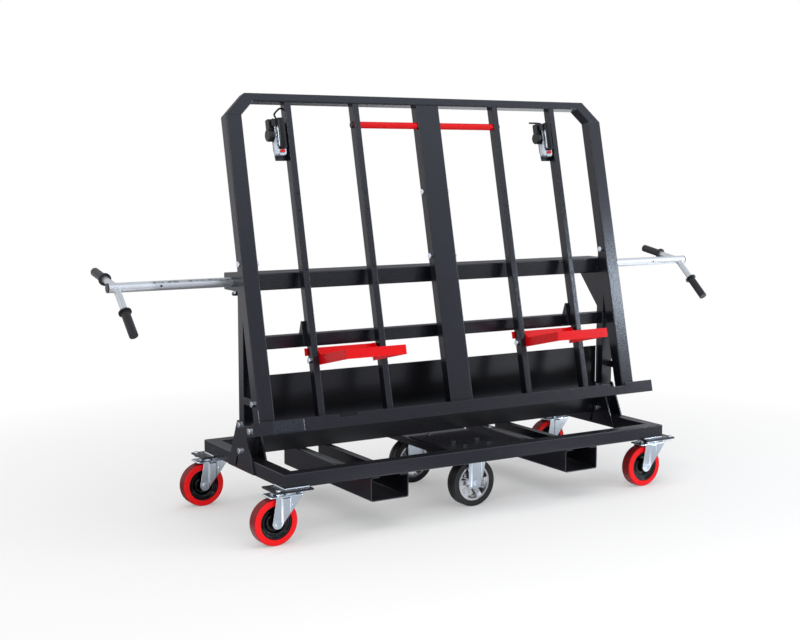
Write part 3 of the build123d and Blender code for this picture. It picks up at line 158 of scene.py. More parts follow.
def window(tree, value, start, full, fade, end):
    """A mask that rises from 0 to 1, stays there, and falls back to 0."""
    return times(tree, spread(tree, value, start, full), spread(tree, value, end, fade))


def noise_at(tree, place, **values):
    """Noise that is read at a place."""
    return put(tree, "TexNoise", Vector=place, **values).outputs["Fac"]


print("mask helpers ready")

# %% [markdown]
# ## Light
# Dark glossy paint is a mirror, so what it mirrors matters more than its colour. The walls of the studio
# are dim below and bright and a little blue higher up, and brighter at the front right, where a window
# lets light in. Along the horizon at the front, a bright band shows in the round handle tubes. The
# ceiling is dimmer again.

# %% Studio walls
world = bpy.data.worlds.new("studio")
scene.world = world
world.use_nodes = True
sky = world.node_tree
sky.nodes.clear()
x, y, z = axes_of(sky, here(sky, "Generated"))
to_front = spread(sky, y, 0.35, -0.25)
to_left = spread(sky, x, 0.10, -0.30)
to_right = spread(sky, x, 0.30, 0.66)
far_right = spread(sky, x, 0.58, 0.72)
low_back = blend(sky, far_right, (0.18, 0.18, 0.20), (0.52, 0.52, 0.55))
low_back = blend(sky, to_left, low_back, (0.80, 0.80, 0.84))
low_front = blend(sky, far_right, (0.38, 0.38, 0.44), (0.95, 0.98, 1.06))
beside = maths(sky, "MAXIMUM", spread(sky, x, 0.44, 0.39), spread(sky, x, 0.60, 0.64))
horizon = times(sky, spread(sky, z, 0.14, 0.10), beside)
low_front = blend(sky, horizon, low_front, (2.10, 2.15, 2.22))
high_front = blend(sky, to_right, (1.18, 1.25, 1.44), (1.58, 1.68, 2.02))
low_wall = blend(sky, to_front, low_back, low_front)
high_wall = blend(sky, to_front, (0.74, 0.76, 0.80), high_front)
walls = blend(sky, spread(sky, z, 0.23, 0.47), low_wall, high_wall)
walls = blend(sky, spread(sky, z, 0.62, 0.85), walls, (0.60, 0.62, 0.66))
print("walls painted in", world.name)

# %% [markdown]
# Which wall is seen depends on the ray. Mirror and glass rays see the walls with their shading. Matt
# surfaces get an even, plain level of light from all sides. Camera rays see a plain white wall.

# %% World
matt_level = 0.64
white = (1.0, 1.0, 1.0, 1.0)
mirror_wall = put(sky, "Background", Color=walls, Strength=1.0).outputs[0]
matt_wall = put(sky, "Background", Color=white, Strength=matt_level).outputs[0]
backdrop = put(sky, "Background", Color=white, Strength=1.0).outputs[0]
rays = put(sky, "LightPath").outputs
mirror_rays = maths(sky, "MAXIMUM", rays["Is Glossy Ray"], rays["Is Transmission Ray"])
seen = mix_shaders(sky, mirror_rays, matt_wall, mirror_wall)
seen = mix_shaders(sky, rays["Is Camera Ray"], seen, backdrop)
put(sky, "OutputWorld", Surface=seen)
print("world ready, matt level", matt_level)

# %% [markdown]
# A large soft box hangs overhead and makes the soft shadow. A small one stands at the front right: its
# mirror image is the bright, grainy patch on the right upright. One at the upper left gives the crisp
# highlights on bends, hubs and bolts. A long, low one fills in the front, where the wheels are. It and
# the overhead one are kept out of mirrors.

# %% Lamps
def soft_box(name, place, target, width, height, watts, tint=(1.0, 1.0, 1.0)):
    """A rectangular lamp that faces a point."""
    lamp = bpy.data.lights.new(name, "AREA")
    lamp.shape = "RECTANGLE"
    lamp.size = width
    lamp.size_y = height
    lamp.energy = watts
    lamp.color = tint
    holder = bpy.data.objects.new(name, lamp)
    holder.location = place
    holder.rotation_euler = (Vector(target) - Vector(place)).to_track_quat("-Z", "Y").to_euler()
    scene.collection.objects.link(holder)
    return holder


window_blue = (0.72, 0.84, 1.0)
overhead_box = soft_box("overhead_box", (0.2, -0.4, 3.6), (0.0, 0.0, 0.0), 4.0, 2.6, watts=42.0)
overhead_box.visible_glossy = False
soft_box("right_box", (3.05, -2.25, 1.53), (0.806, -0.067, 0.758), 0.36, 0.30, watts=17.0, tint=window_blue)
soft_box("left_box", (-3.5, -3.0, 3.2), (-0.4, -0.2, 0.4), 1.2, 0.8, watts=30.0)
low_fill = soft_box("low_fill", (-0.3, -2.1, 0.32), (-0.3, -0.35, 0.08), 4.2, 0.5, watts=12.0)
low_fill.visible_glossy = False
low_fill.visible_camera = False
print("lamps", len(bpy.data.lights))

# %% [markdown]
# ## Floor
# The floor is a large sheet of white studio paper. What a mirror sees of it is painted by place. It is
# dim, with a paler stretch in front of the trolley and brighter ones far in front, on the right and
# behind on the left. Close to the wheels it has pools of light with dimmer places between them, so the
# bends of the bright forks stand out.

# %% Mirrored paper
pool_spacing, pool_shift = 0.89, 0.165
paper = bpy.data.materials.new("studio_paper")
paper.use_nodes = True
tree = paper.node_tree
tree.nodes.clear()
place = here(tree)
x, y, _ = axes_of(tree, place)
distance = put(tree, "VectorMath", operation="LENGTH", Vector=place).outputs["Value"]
in_front = times(tree, spread(tree, y, 0.2, -1.0), spread(tree, distance, 4.6, 2.4))
mirrored = blend(tree, in_front, (0.27, 0.27, 0.30), (0.50, 0.51, 0.60))
turn = times(tree, maths(tree, "ADD", x, pool_shift), 2 * pi / pool_spacing)
pools = spread(tree, maths(tree, "COSINE", turn), -0.6, 0.8)
pool_colour = blend(tree, pools, (0.50, 0.53, 0.57), (1.70, 1.74, 1.80))
by_wheels = window(tree, y, -1.0, -0.8, -0.3, 0.1)
mirrored = blend(tree, by_wheels, mirrored, pool_colour)
far_front = spread(tree, y, -5.0, -6.5)
far_left = times(tree, far_front, spread(tree, x, 3.6, 2.4))
mirrored = blend(tree, far_left, mirrored, (0.95, 0.97, 1.0))
near_right = times(tree, spread(tree, x, 1.65, 1.95), spread(tree, y, -4.5, -3.0))
far_right = times(tree, far_front, spread(tree, x, 6.4, 7.6))
right_floor = maths(tree, "MAXIMUM", near_right, far_right)
mirrored = blend(tree, right_floor, mirrored, (1.60, 1.64, 1.68))
far_back = times(tree, spread(tree, y, 2.0, 4.0), spread(tree, x, -0.5, -1.5))
mirrored = blend(tree, far_back, mirrored, (1.20, 1.20, 1.26))
print("mirrored stretches painted in", paper.name)

# %% [markdown]
# To the camera, the paper near the trolley is a matt surface that keeps the soft shadow. Far away it
# fades into the white wall, so that no horizon shows.

# %% Floor
floor_half = 14.0
rays = put(tree, "LightPath").outputs
paper_colour = blend(tree, rays["Is Glossy Ray"], (0.93, 0.93, 0.93), mirrored)
matt = put(tree, "BsdfDiffuse", Color=paper_colour).outputs[0]
glow = put(tree, "Emission", Strength=1.0).outputs[0]
direct = maths(tree, "MAXIMUM", rays["Is Camera Ray"], rays["Is Transmission Ray"])
seen_white = spread(tree, distance, 1.1, 2.7, 0.30, 1.0)
surface = mix_shaders(tree, times(tree, direct, seen_white), matt, glow)
put(tree, "OutputMaterial", Surface=surface)
floor_mesh = bpy.data.meshes.new("studio_floor")
corners = ((-1, -1), (1, -1), (1, 1), (-1, 1))
corners = [(x * floor_half, y * floor_half, 0) for x, y in corners]
floor_mesh.from_pydata(corners, [], [(0, 1, 2, 3)])
floor_mesh.materials.append(paper)
floor = bpy.data.objects.new("studio_floor", floor_mesh)
scene.collection.objects.link(floor)
print("floor", 2 * floor_half, "m wide")

# %% [markdown]
# ## Shared effects
# Several finishes share the same marks: the grain of a powder coat, the lighter edge of a steel section,
# which is partly rubbed wear and partly a painted highlight, the dust that settles on what faces up, and
# the bloom of zinc. Each is built once as a node group with named inputs and outputs, and every finish sets
# its own values on its own copy of the group.

# %% Group builder
def new_group(name, inputs, outputs):
    """An empty shader group, with the sockets of what it is given and of what it makes."""
    group = bpy.data.node_groups.new(name, "ShaderNodeTree")
    for title, value in inputs.items():
        socket = group.interface.new_socket(title, in_out="INPUT", socket_type="NodeSocketFloat")
        socket.default_value = value
    for title in outputs:
        group.interface.new_socket(title, in_out="OUTPUT", socket_type="NodeSocketFloat")
    given = group.nodes.new("NodeGroupInput").outputs
    made = group.nodes.new("NodeGroupOutput").inputs
    print("group", name)
    return group, given, made


def use_group(tree, group, **values):
    """Places a group in a material, with this finish's own values."""
    node = tree.nodes.new("ShaderNodeGroup")
    node.node_tree = group
    for title, value in values.items():
        node.inputs[title].default_value = value
    return node.outputs


print("group builder ready")

# %% [markdown]
# Powder coat is sprayed on dry and melts into a skin with a fine, uneven surface like orange peel. Noise
# at two sizes makes that relief. The finer one also gives the tiny flecks in the colour. A slow noise
# gives the cloudy tone.

# %% Coat grain group
coat_grain, given, made = new_group("coat_grain", {"Grain": 240.0}, ["Height", "Fleck", "Cloud"])
tree = coat_grain
place = here(tree)
peel = noise_at(tree, place, Scale=given["Grain"], Detail=1.0, Roughness=0.5)
grit = noise_at(tree, place, Scale=times(tree, given["Grain"], 3.7), Detail=1.0)
relief = maths(tree, "ADD", peel, times(tree, grit, 0.35))
join(tree, relief, made["Height"])
join(tree, spread(tree, grit, 0.55, 0.75), made["Fleck"])
slow = noise_at(tree, place, Scale=3.5, Detail=4.0)
join(tree, spread(tree, slow, 0.3, 0.7), made["Cloud"])

# %% [markdown]
# Edges are made lighter. This is partly wear, since edges lose their coat first, and partly a painted
# highlight, like the one a rounded edge catches. A Bevel node returns the normal of an edge as if it were
# rounded. Where that differs from the face's own normal, there is an edge. Noise breaks the mask up,
# because wear is never even.

# %% Edge wear and painted highlight group
edge_wear_and_highlight, given, made = new_group("edge_wear_and_highlight", {"Radius": 0.0025, "Breakup": 60.0}, ["Edge"])
tree = edge_wear_and_highlight
soft_edge = put(tree, "Bevel", samples=4, Radius=given["Radius"])
agreement = put(tree, "VectorMath", operation="DOT_PRODUCT", Vector=soft_edge.outputs[0])
join(tree, put(tree, "NewGeometry").outputs["Normal"], agreement.inputs[1])
edge = spread(tree, agreement.outputs["Value"], 0.995, 0.88)
ragged = noise_at(tree, here(tree), Scale=given["Breakup"], Detail=4.0)
patchy = spread(tree, ragged, 0.42, 0.68, 0.15, 1.0)
join(tree, times(tree, edge, patchy), made["Edge"])

# %% [markdown]
# Workshop dust lies on faces that look up, thicker in some places than in others.

# %% Settled dust group
settled_dust, given, made = new_group("settled_dust", {"Patch": 14.0}, ["Dust"])
tree = settled_dust
_, _, upward = axes_of(tree, put(tree, "NewGeometry").outputs["Normal"])
drift = noise_at(tree, here(tree), Scale=given["Patch"], Detail=6.0, Roughness=0.65)
thick = spread(tree, drift, 0.35, 0.75, 0.1, 1.0)
join(tree, times(tree, spread(tree, upward, 0.55, 0.95), thick), made["Dust"])

# %% [markdown]
# Zinc is a soft skin of crystals. Its cells differ a little in tone, it has cloudy bloom, and handling
# drags fine streaks along it. The streaks are noise that is stretched along one axis.

# %% Zinc bloom group
zinc_inputs = {"Cells": 90.0, "Streak": 35.0}
zinc_bloom, given, made = new_group("zinc_bloom", zinc_inputs, ["Tone", "Streaks"])
tree = zinc_bloom
place = here(tree)
cells = put(tree, "TexVoronoi", Vector=place, Scale=given["Cells"])
shade = put(tree, "SeparateColor", Color=cells.outputs["Color"])
bloom = noise_at(tree, place, Scale=22.0, Detail=5.0)
tone = maths(tree, "ADD", times(tree, shade.outputs[0], 0.4), bloom)
join(tree, spread(tree, tone, 0.35, 1.05), made["Tone"])
pulled = put(tree, "Mapping", Vector=place, Scale=(1.0, 14.0, 14.0))
drag = noise_at(tree, pulled.outputs[0], Scale=given["Streak"], Detail=5.0)
join(tree, spread(tree, drag, 0.4, 0.7), made["Streaks"])

# %% [markdown]
# ## Finishes
# Each finish is a material with its own Principled shader. A number that is the same all over the surface
# is set on the shader itself, and only what changes over the surface comes through nodes.

# %% Material starter
finishes = {}


def new_finish(slot, **values):
    """A material, kept under its slot's name. Returns its tree and its Principled shader's inputs."""
    material = bpy.data.materials.new(slot)
    material.use_nodes = True
    tree = material.node_tree
    shader = tree.nodes["Principled BSDF"].inputs
    for name, value in values.items():
        shader[name.replace("_", " ")].default_value = value
    finishes[slot] = material
    print("finish", slot)
    return tree, shader


def raise_bump(tree, shader, height, strength, distance, edge=0.0):
    """Feeds a height into the shader's normal. An edge radius also shades sharp edges as rounded."""
    bump = put(tree, "Bump", Height=height, Strength=strength, Distance=distance)
    if edge > 0.0:
        soft_edge = put(tree, "Bevel", samples=6, Radius=edge)
        join(tree, soft_edge.outputs[0], bump.inputs["Normal"])
    join(tree, bump.outputs[0], shader["Normal"])
    return bump


print("material starter ready")

# %% [markdown]
# ### Grey powder coat
# Rails, posts, bars and the rack have one anthracite coat with a bluish cast. It is nearly black, and
# most of what the eye sees is the studio mirrored in its smooth skin. So the base colour is very dark,
# the mirror is fairly sharp, and a fine grain softens it. Edges are made a little lighter and bluish,
# partly as rubbed wear and partly as a painted highlight, and dust greys the tops.

# %% Frame paint
def grey_coat(slot, body, cloudy, grain, strength, roughness):
    """A grey coat from its two tones, the scale and the strength of its grain, and its roughness."""
    tree, shader = new_finish(slot, Specular_IOR_Level=0.5)
    skin = use_group(tree, coat_grain, Grain=grain)
    wear_and_highlight = use_group(tree, edge_wear_and_highlight, Radius=0.0016)
    dust = use_group(tree, settled_dust)
    colour = blend(tree, skin["Cloud"], body, cloudy)
    fleck = times(tree, skin["Fleck"], 0.30)
    colour = blend(tree, fleck, colour, (0.020, 0.021, 0.028))
    # Lighter, bluish edges: partly rubbed wear, partly a painted highlight.
    worn_and_highlit = times(tree, wear_and_highlight["Edge"], 0.45)
    colour = blend(tree, worn_and_highlit, colour, (0.060, 0.062, 0.075))
    dusty = times(tree, dust["Dust"], 0.10)
    colour = blend(tree, dusty, colour, (0.13, 0.12, 0.11))
    join(tree, colour, shader["Base Color"])
    dull = maths(tree, "ADD", dusty, roughness)
    join(tree, dull, shader["Roughness"])
    peel = raise_bump(tree, shader, skin["Height"], strength, 0.0006, edge=0.003)
    return tree, shader, colour, dull, peel


peel_strength = 0.75
frame_tones = (0.0052, 0.0056, 0.0095), (0.0072, 0.0077, 0.0125)
frame_coat = grey_coat("frame_paint", *frame_tones, grain=190.0, strength=peel_strength, roughness=0.16)
tree, shader, colour, dull, peel = frame_coat

# %% [markdown]
# The front face of the right upright has less peel and is a little rougher. Over the middle of it, pale
# flecks are painted into the colour as a painted highlight: the grainy glint of the small lamp at the front
# right, which fades out up and down. Near the left end of the tray's lip, a patch of the coat has turned
# bluish.

# %% Painted glint on the right upright and bluish patch
rubbed_peel, rubbed_roughness = 0.30, 0.08
place = here(tree)
x, y, z = axes_of(tree, place)
_, facing, _ = axes_of(tree, here(tree, "Normal"))
right_upright_front = times(tree, spread(tree, x, 0.772, 0.778), spread(tree, facing, -0.6, -0.9))
join(tree, spread(tree, right_upright_front, 0.0, 1.0, peel_strength, rubbed_peel), peel.inputs["Strength"])
rougher = times(tree, right_upright_front, rubbed_roughness)
join(tree, maths(tree, "ADD", dull, rougher), shader["Roughness"])
speck = noise_at(tree, place, Scale=210.0, Detail=1.0)
band = window(tree, z, 0.38, 0.46, 0.85, 1.10)
# Painted highlight: pale flecks in a band over the right upright's front face.
painted_glint = times(tree, spread(tree, speck, 0.36, 0.68), band, right_upright_front)
colour = blend(tree, painted_glint, colour, (0.021, 0.0222, 0.0268))
film = times(
    tree,
    window(tree, x, -0.8125, -0.8115, -0.6925, -0.6915),
    spread(tree, y, -0.185, -0.190),
    spread(tree, z, 0.300, 0.305),
    spread(tree, speck, 0.35, 0.70, 0.2, 1.0),
)
join(tree, blend(tree, film, colour, (0.011, 0.014, 0.028)), shader["Base Color"])
print("rubbed grain on", finishes["frame_paint"].name)

# %% [markdown]
# The kick panel has the same coat, a little darker and more matt.

# %% Panel paint
panel_tones = (0.0034, 0.0036, 0.0050), (0.0050, 0.0053, 0.0070)
grey_coat("panel_paint", *panel_tones, grain=300.0, strength=0.18, roughness=0.24)

# %% [markdown]
# ### Red powder coat
# The shelves and the grab bar are signal red. The red is deep and pure, so very little green and blue is
# in it, and its skin mirrors less than the grey one.

# %% Red paint
tree, shader = new_finish("red_paint", Specular_IOR_Level=0.24)
skin = use_group(tree, coat_grain, Grain=260.0)
wear_and_highlight = use_group(tree, edge_wear_and_highlight, Radius=0.0018)
colour = blend(tree, skin["Cloud"], (0.74, 0.0030, 0.0048), (0.68, 0.0028, 0.0044))
# Lighter edges: partly rubbed wear, partly a painted highlight.
worn_and_highlit = times(tree, wear_and_highlight["Edge"], 0.3)
colour = blend(tree, worn_and_highlit, colour, (0.88, 0.030, 0.030))
join(tree, colour, shader["Base Color"])
join(tree, spread(tree, skin["Height"], 0.3, 1.0, 0.22, 0.32), shader["Roughness"])
raise_bump(tree, shader, skin["Height"], 0.15, 0.0003)

# %% [markdown]
# ### Zinc
# Pressed caster forks and bolts are bright zinc plate with a cold, bluish mirror. One function makes this
# finish and, with other values, the galvanised one further down.

# %% Zinc plate
def zinc_coat(slot, metal, dark, light, roughness, cells, streaks, edges):
    """A zinc skin from its two tones and its roughness. Streaks and edges say how strongly those show."""
    tree, shader = new_finish(slot, Metallic=metal)
    skin = use_group(tree, zinc_bloom, Cells=cells)
    wear_and_highlight = use_group(tree, edge_wear_and_highlight, Radius=0.0014)
    colour = blend(tree, skin["Tone"], dark, light)
    streaky = times(tree, skin["Streaks"], streaks)
    colour = blend(tree, streaky, colour, (0.40, 0.41, 0.43))
    # Brighter edges: partly rubbed wear, partly a painted highlight.
    bright_wear_and_highlight = times(tree, wear_and_highlight["Edge"], edges)
    colour = blend(tree, bright_wear_and_highlight, colour, (0.88, 0.90, 0.92))
    join(tree, colour, shader["Base Color"])
    dull = times(tree, skin["Tone"], 0.03)
    join(tree, maths(tree, "ADD", dull, roughness), shader["Roughness"])
    raise_bump(tree, shader, skin["Streaks"], 0.004, 0.0001, edge=0.002)
    return tree, shader, colour


tones = (0.74, 0.80, 0.85), (0.79, 0.85, 0.89)
tree, shader, colour = zinc_coat("zinc", 1.0, *tones, roughness=0.17, cells=110.0, streaks=0.0, edges=0.5)

# %% [markdown]
# The bolt heads on the bridge plate lie under the load, where oil and dust have turned them dark. On the
# ratchets, high on the rack, the plate is darker above one height and darker still above a second, higher
# one.

# %% Dull bolts and ratchets
x, _, z = axes_of(tree, here(tree))
by_middle = spread(tree, maths(tree, "ABSOLUTE", x), 0.17, 0.15)
on_bridge = times(tree, by_middle, window(tree, z, 0.230, 0.232, 0.26, 0.27))
colour = blend(tree, on_bridge, colour, (0.17, 0.17, 0.18))
colour = blend(tree, spread(tree, z, 1.22, 1.25), colour, (0.56, 0.60, 0.61))
colour = blend(tree, spread(tree, z, 1.325, 1.345), colour, (0.36, 0.39, 0.40))
join(tree, colour, shader["Base Color"])
print("dull bolts and ratchets on", finishes["zinc"].name)

# %% [markdown]
# The handles' tubes are hot-dip galvanised, which is thicker, greyer and duller than the zinc plate.

# %% Galvanised tubes
tones = (0.66, 0.69, 0.71), (0.72, 0.75, 0.77)
tube_skin = zinc_coat("galvanised", 0.8, *tones, roughness=0.30, cells=70.0, streaks=0.05, edges=0.0)
tree, shader, colour = tube_skin

# %% [markdown]
# The left handle has often been pushed in. Where its tube runs through the guide, the guide has left rows
# of small dark marks along its upper side, and along that part the skin is painted darker as shade, because
# the left handle gets less light than the right one.

# %% Painted shade and scuffs on the left tube
place = here(tree)
along, _, _ = axes_of(tree, place)
shaded_span = window(tree, along, -1.135, -1.115, -0.3, 0.0)
# Painted shade: this part of the left tube is made darker.
colour = blend(tree, times(tree, shaded_span, 0.55), colour, (0.42, 0.44, 0.46))
_, _, upward = axes_of(tree, here(tree, "Normal"))
upper = window(tree, upward, 0.45, 0.60, 0.80, 0.95)
ticks = noise_at(tree, place, Scale=75.0, Detail=2.0)
marks = times(tree, spread(tree, ticks, 0.50, 0.60, 0.0, 0.75), upper, shaded_span)
colour = blend(tree, marks, colour, (0.10, 0.10, 0.11))
join(tree, colour, shader["Base Color"])
print("scuffs on", finishes["galvanised"].name)

# %% [markdown]
# ### Wheels
# The swivel wheels have a red polyurethane tread on a black hub. The flat side of the tread is bright
# red. The part that rolls is a dark brownish red, with faint lines round it.
# Which part is which follows from the surface's own normal, read in the wheel's own space, so it turns
# with the wheel.

# %% Tread
tree, shader = new_finish("tread", Specular_IOR_Level=0.22)
place = here(tree)
_, sideways, _ = axes_of(tree, here(tree, "Normal"))
side = spread(tree, maths(tree, "ABSOLUTE", sideways), 0.30, 0.85)
mottle = noise_at(tree, place, Scale=60.0, Detail=6.0)
rings = put(tree, "TexWave", bands_direction="Y", Vector=place, Scale=70.0, Distortion=0.6)
rolled = blend(tree, rings.outputs["Fac"], (0.15, 0.0075, 0.0085), (0.24, 0.011, 0.013))
side_red = blend(tree, mottle, (0.90, 0.0045, 0.0080), (0.84, 0.0040, 0.0070))
join(tree, blend(tree, side, rolled, side_red), shader["Base Color"])
join(tree, spread(tree, mottle, 0.3, 0.7, 0.34, 0.46), shader["Roughness"])
raise_bump(tree, shader, mottle, 0.12, 0.0004)

# %% [markdown]
# Hubs, casings, plugs and buttons are moulded plastic. The hubs are polished, and the others have the
# fine sparked texture of the tool. The grips are rubber, with a coarser pebble. Tyres are matt black
# rubber with a trace of dust.

# %% Moulded plastics and rubbers
def moulded(slot, colour, pale, pale_share, roughness, pebble, strength, specular):
    """A moulding: colour, pale film and its share, roughness, scale and strength of the grain, gloss."""
    tree, shader = new_finish(slot, Specular_IOR_Level=specular)
    place = here(tree)
    grain = noise_at(tree, place, Scale=pebble, Detail=2.0)
    smear = noise_at(tree, place, Scale=18.0, Detail=5.0)
    film = times(tree, spread(tree, smear, 0.4, 0.75), pale_share)
    join(tree, blend(tree, film, colour, pale), shader["Base Color"])
    satin = spread(tree, smear, 0.3, 0.7, roughness, roughness * 1.25)
    join(tree, satin, shader["Roughness"])
    raise_bump(tree, shader, grain, strength, 0.0002, edge=0.0015)
    return tree, shader, satin


grip_specular = 0.45
moulded("hub", (0.0012, 0.0012, 0.0014), (0.008, 0.008, 0.008), 0.04, 0.08, 500.0, 0.0, 0.36)
moulded("tyre", (0.0065, 0.0065, 0.0072), (0.060, 0.056, 0.052), 0.14, 0.42, 380.0, 0.20, 0.4)
tones = (0.0105, 0.0105, 0.0120), (0.040, 0.040, 0.042)
tree, shader, satin = moulded("grip", *tones, 0.12, 0.34, 520.0, 0.25, grip_specular)
moulded("trim", (0.0065, 0.0065, 0.0075), (0.035, 0.035, 0.037), 0.12, 0.30, 700.0, 0.15, 0.45)
moulded("button", (0.74, 0.0040, 0.0080), (0.76, 0.030, 0.030), 0.12, 0.25, 600.0, 0.08, 0.4)

# %% [markdown]
# The ratchet levers have the same material as the grips, but it is smoother and mirrors less. They are
# the only pieces of it that sit high up, so height alone tells them apart.

# %% Smooth levers
lever_smoothness, lever_specular = 0.55, 0.20
_, _, height = axes_of(tree, here(tree))
smoother = spread(tree, height, 1.20, 1.25, 1.0, lever_smoothness)
join(tree, times(tree, satin, smoother), shader["Roughness"])
gloss = spread(tree, height, 1.20, 1.25, grip_specular, lever_specular)
join(tree, gloss, shader["Specular IOR Level"])
print("smooth levers on", finishes["grip"].name)

# %% [markdown]
# The centre wheels have polished aluminium rims. The casting is grainy, and a thin, cloudy grey stain
# lies on it.

# %% Cast rim
tree, shader = new_finish("rim", Metallic=1.0)
place = here(tree)
sand = noise_at(tree, place, Scale=300.0, Detail=3.0)
stain = noise_at(tree, place, Scale=30.0, Detail=6.0)
stained = spread(tree, stain, 0.35, 0.7)
join(tree, blend(tree, stained, (0.74, 0.73, 0.74), (0.56, 0.55, 0.56)), shader["Base Color"])
join(tree, spread(tree, stain, 0.3, 0.7, 0.14, 0.26), shader["Roughness"])
raise_bump(tree, shader, sand, 0.15, 0.0003)

# %% [markdown]
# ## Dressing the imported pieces
# The record names a slot for each piece, and every slot has a finish of the same name. Each piece gets
# that one.

# %% Assign the finishes
finish_of = {}
for subpart in frame["record"]["subparts"]:
    finish_of[subpart["node"]] = subpart["material_slot"]
for name, piece in nodes.items():
    piece.data.materials.clear()
    piece.data.materials.append(finishes[finish_of[name]])
print("dressed", len(nodes), "pieces")

# %% [markdown]
# ## Tools for small pieces
# Small forms, such as weld beads, are built here in mesh code. Each one rides on the body that carries it
# and takes its finish from one of the record's slots. Faces that meet at a blunt angle are shaded smooth.

# %% Piece helpers
mm = 0.001
rack_lean = radians(13)
rack_foot_y, rack_foot_z = -173, 300


def keep_piece(name, shape, body, slot):
    """Turns a mesh in the making into an object that rides on a body."""
    bmesh.ops.recalc_face_normals(shape, faces=shape.faces)
    mesh = bpy.data.meshes.new(name)
    shape.to_mesh(mesh)
    shape.free()
    mesh.polygons.foreach_set("use_smooth", [True] * len(mesh.polygons))
    mesh.set_sharp_from_angle(angle=radians(38))
    mesh.materials.append(finishes[slot])
    piece = bpy.data.objects.new(name, mesh)
    scene.collection.objects.link(piece)
    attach(piece, body)
    print("piece", name, "with", len(mesh.polygons), "faces on", body)
    return piece


def rack_point(x, rise, depth):
    """A point so far up the rack's slope and so far behind its front face, all in millimetres."""
    y = rack_foot_y + rise * sin(rack_lean) + depth * cos(rack_lean)
    z = rack_foot_z + rise * cos(rack_lean) - depth * sin(rack_lean)
    return Vector((x, y, z)) * mm


print("piece helpers ready")

# %% [markdown]
# Most of these forms are rings of points with a skin over them. A tube is a row of round rings along a
# path.

# %% Ring helpers
def full_turn(count):
    """Angles that are evenly spaced round a circle."""
    return [2 * pi * step / count for step in range(count)]


def add_skin(shape, rings, closed=False):
    """Adds faces between rings. The last ring meets the first one, or else both ends get a cap."""
    followers = rings[1:] + (rings[:1] if closed else [])
    for one, two in zip(rings, followers):
        for step in range(len(one)):
            following = (step + 1) % len(one)
            shape.faces.new((one[step], one[following], two[following], two[step]))
    if not closed:
        shape.faces.new(rings[0][::-1])
        shape.faces.new(rings[-1])


def add_tube(shape, path, radii, up, closed=False, sides=10):
    """Adds a round tube along a path, with its own radius at each point."""
    rings = []
    last = len(path) - 1
    for index, (point, radius) in enumerate(zip(path, radii)):
        before = path[index - 1] if index > 0 or closed else point
        after = path[(index + 1) % len(path)] if index < last or closed else point
        along = (after - before).normalized()
        side = along.cross(up).normalized()
        lift = side.cross(along)
        ring = [point + radius * (cos(turn) * side + sin(turn) * lift) for turn in full_turn(sides)]
        rings.append([shape.verts.new(corner) for corner in ring])
    add_skin(shape, rings, closed)


print("ring helpers ready")

# %% [markdown]
# ### Weld beads
# The frame is welded by hand. A bead is a row of small puddles that froze one after the other, so it is a
# tube whose radius swells at every puddle and thins out at its ends. Half of it is sunk in the corner
# that it fills.

# %% Bead helper
puddle = 4.5 * mm
bead_step = 1.3 * mm


def add_bead(shape, start, end, size, up=(0.3, 0.5, 0.8)):
    """A weld bead along a straight corner."""
    start, end = Vector(start), Vector(end)
    length = (end - start).length
    count = max(8, int(length / bead_step))
    path, radii = [], []
    for step in range(count + 1):
        share = step / count
        run = share * length
        path.append(start.lerp(end, share))
        taper = min(1.0, 0.35 + min(run, length - run) / (2.0 * size))
        radii.append(size * taper * (0.80 + 0.20 * abs(sin(pi * run / puddle))))
    add_tube(shape, path, radii, Vector(up))


print("one puddle every", round(1000 * puddle, 1), "mm")

# %% [markdown]
# Under each corner of the base, a pad carries a caster. It is welded along both outer faces of the rails,
# and these beads are bright metal, because they were made last. The coat covers the others: the upper
# cross bar is welded to the end posts, the posts at their feet, and the pockets to the rails.

# %% Base and frame welds
pad_bead, bar_bead, foot_bead, pocket_bead = 3.6 * mm, 3.2 * mm, 2.6 * mm, 2.8 * mm
base_right, base_back, pad_seam = 0.832, 0.335, 0.1915
pad_run_x, pad_run_y = 0.094, 0.083
bar_in, bar_out, bar_y = 0.783, 0.828, 0.021
foot_x, foot_low, foot_top, pocket_seam = 0.782, 0.243, 0.300, 0.190
shape = bmesh.new()
for right in (-1, 1):
    for back in (-1, 1):
        corner = Vector((right * base_right, back * base_back, pad_seam))
        add_bead(shape, corner - Vector((right * pad_run_x, 0, 0)), corner, pad_bead)
        add_bead(shape, corner - Vector((0, back * pad_run_y, 0)), corner, pad_bead)
keep_piece("pad_welds", shape, "frame", "zinc")
shape = bmesh.new()
for right in (-1, 1):
    for height in (0.820, 0.880):
        add_bead(shape, (right * bar_in, bar_y, height), (right * bar_out, bar_y, height), bar_bead)
    for y in (-0.018, 0.018):
        add_bead(shape, (right * foot_x, y, foot_low), (right * foot_x, y, foot_top), foot_bead)
    for edge in (0.348, 0.501):
        for rail in (-0.333, 0.333):
            start, end = (right * edge, rail, pocket_seam), (right * edge, rail * 0.87, pocket_seam)
            add_bead(shape, start, end, pocket_bead)
keep_piece("base_welds", shape, "frame", "frame_paint")

# %% [markdown]
# On the rack, each slat meets the top rail and the tray in short beads, one on each side. The centre post
# has longer ones. The uprights have beads at the tray only.

# %% Rack welds
top_seam, tray_seam = 1213.0, 48.0
top_bead, tray_bead = 3.8 * mm, 3.4 * mm
slat, post = (12.5, 36), (50, 40)
shape = bmesh.new()
for middle, (half, depth) in ((-592, slat), (-313, slat), (0, post), (313, slat), (592, slat)):
    for edge in (middle - half, middle + half):
        for seam, size in ((top_seam, top_bead), (tray_seam, tray_bead)):
            add_bead(shape, rack_point(edge, seam, 2), rack_point(edge, seam, depth - 2), size)
for edge in (-836, -776, 776, 836):
    add_bead(shape, rack_point(edge, tray_seam, 2), rack_point(edge, tray_seam, 42), tray_bead)
keep_piece("rack_welds", shape, "frame", "frame_paint")

# %% [markdown]
# ### Welds of the handles
# Each arm is a thinner tube that was cut to a saddle and welded to the main tube. The bead follows the
# line where the two meet: at every angle round the arm, it reaches the main tube's surface at its own
# distance.

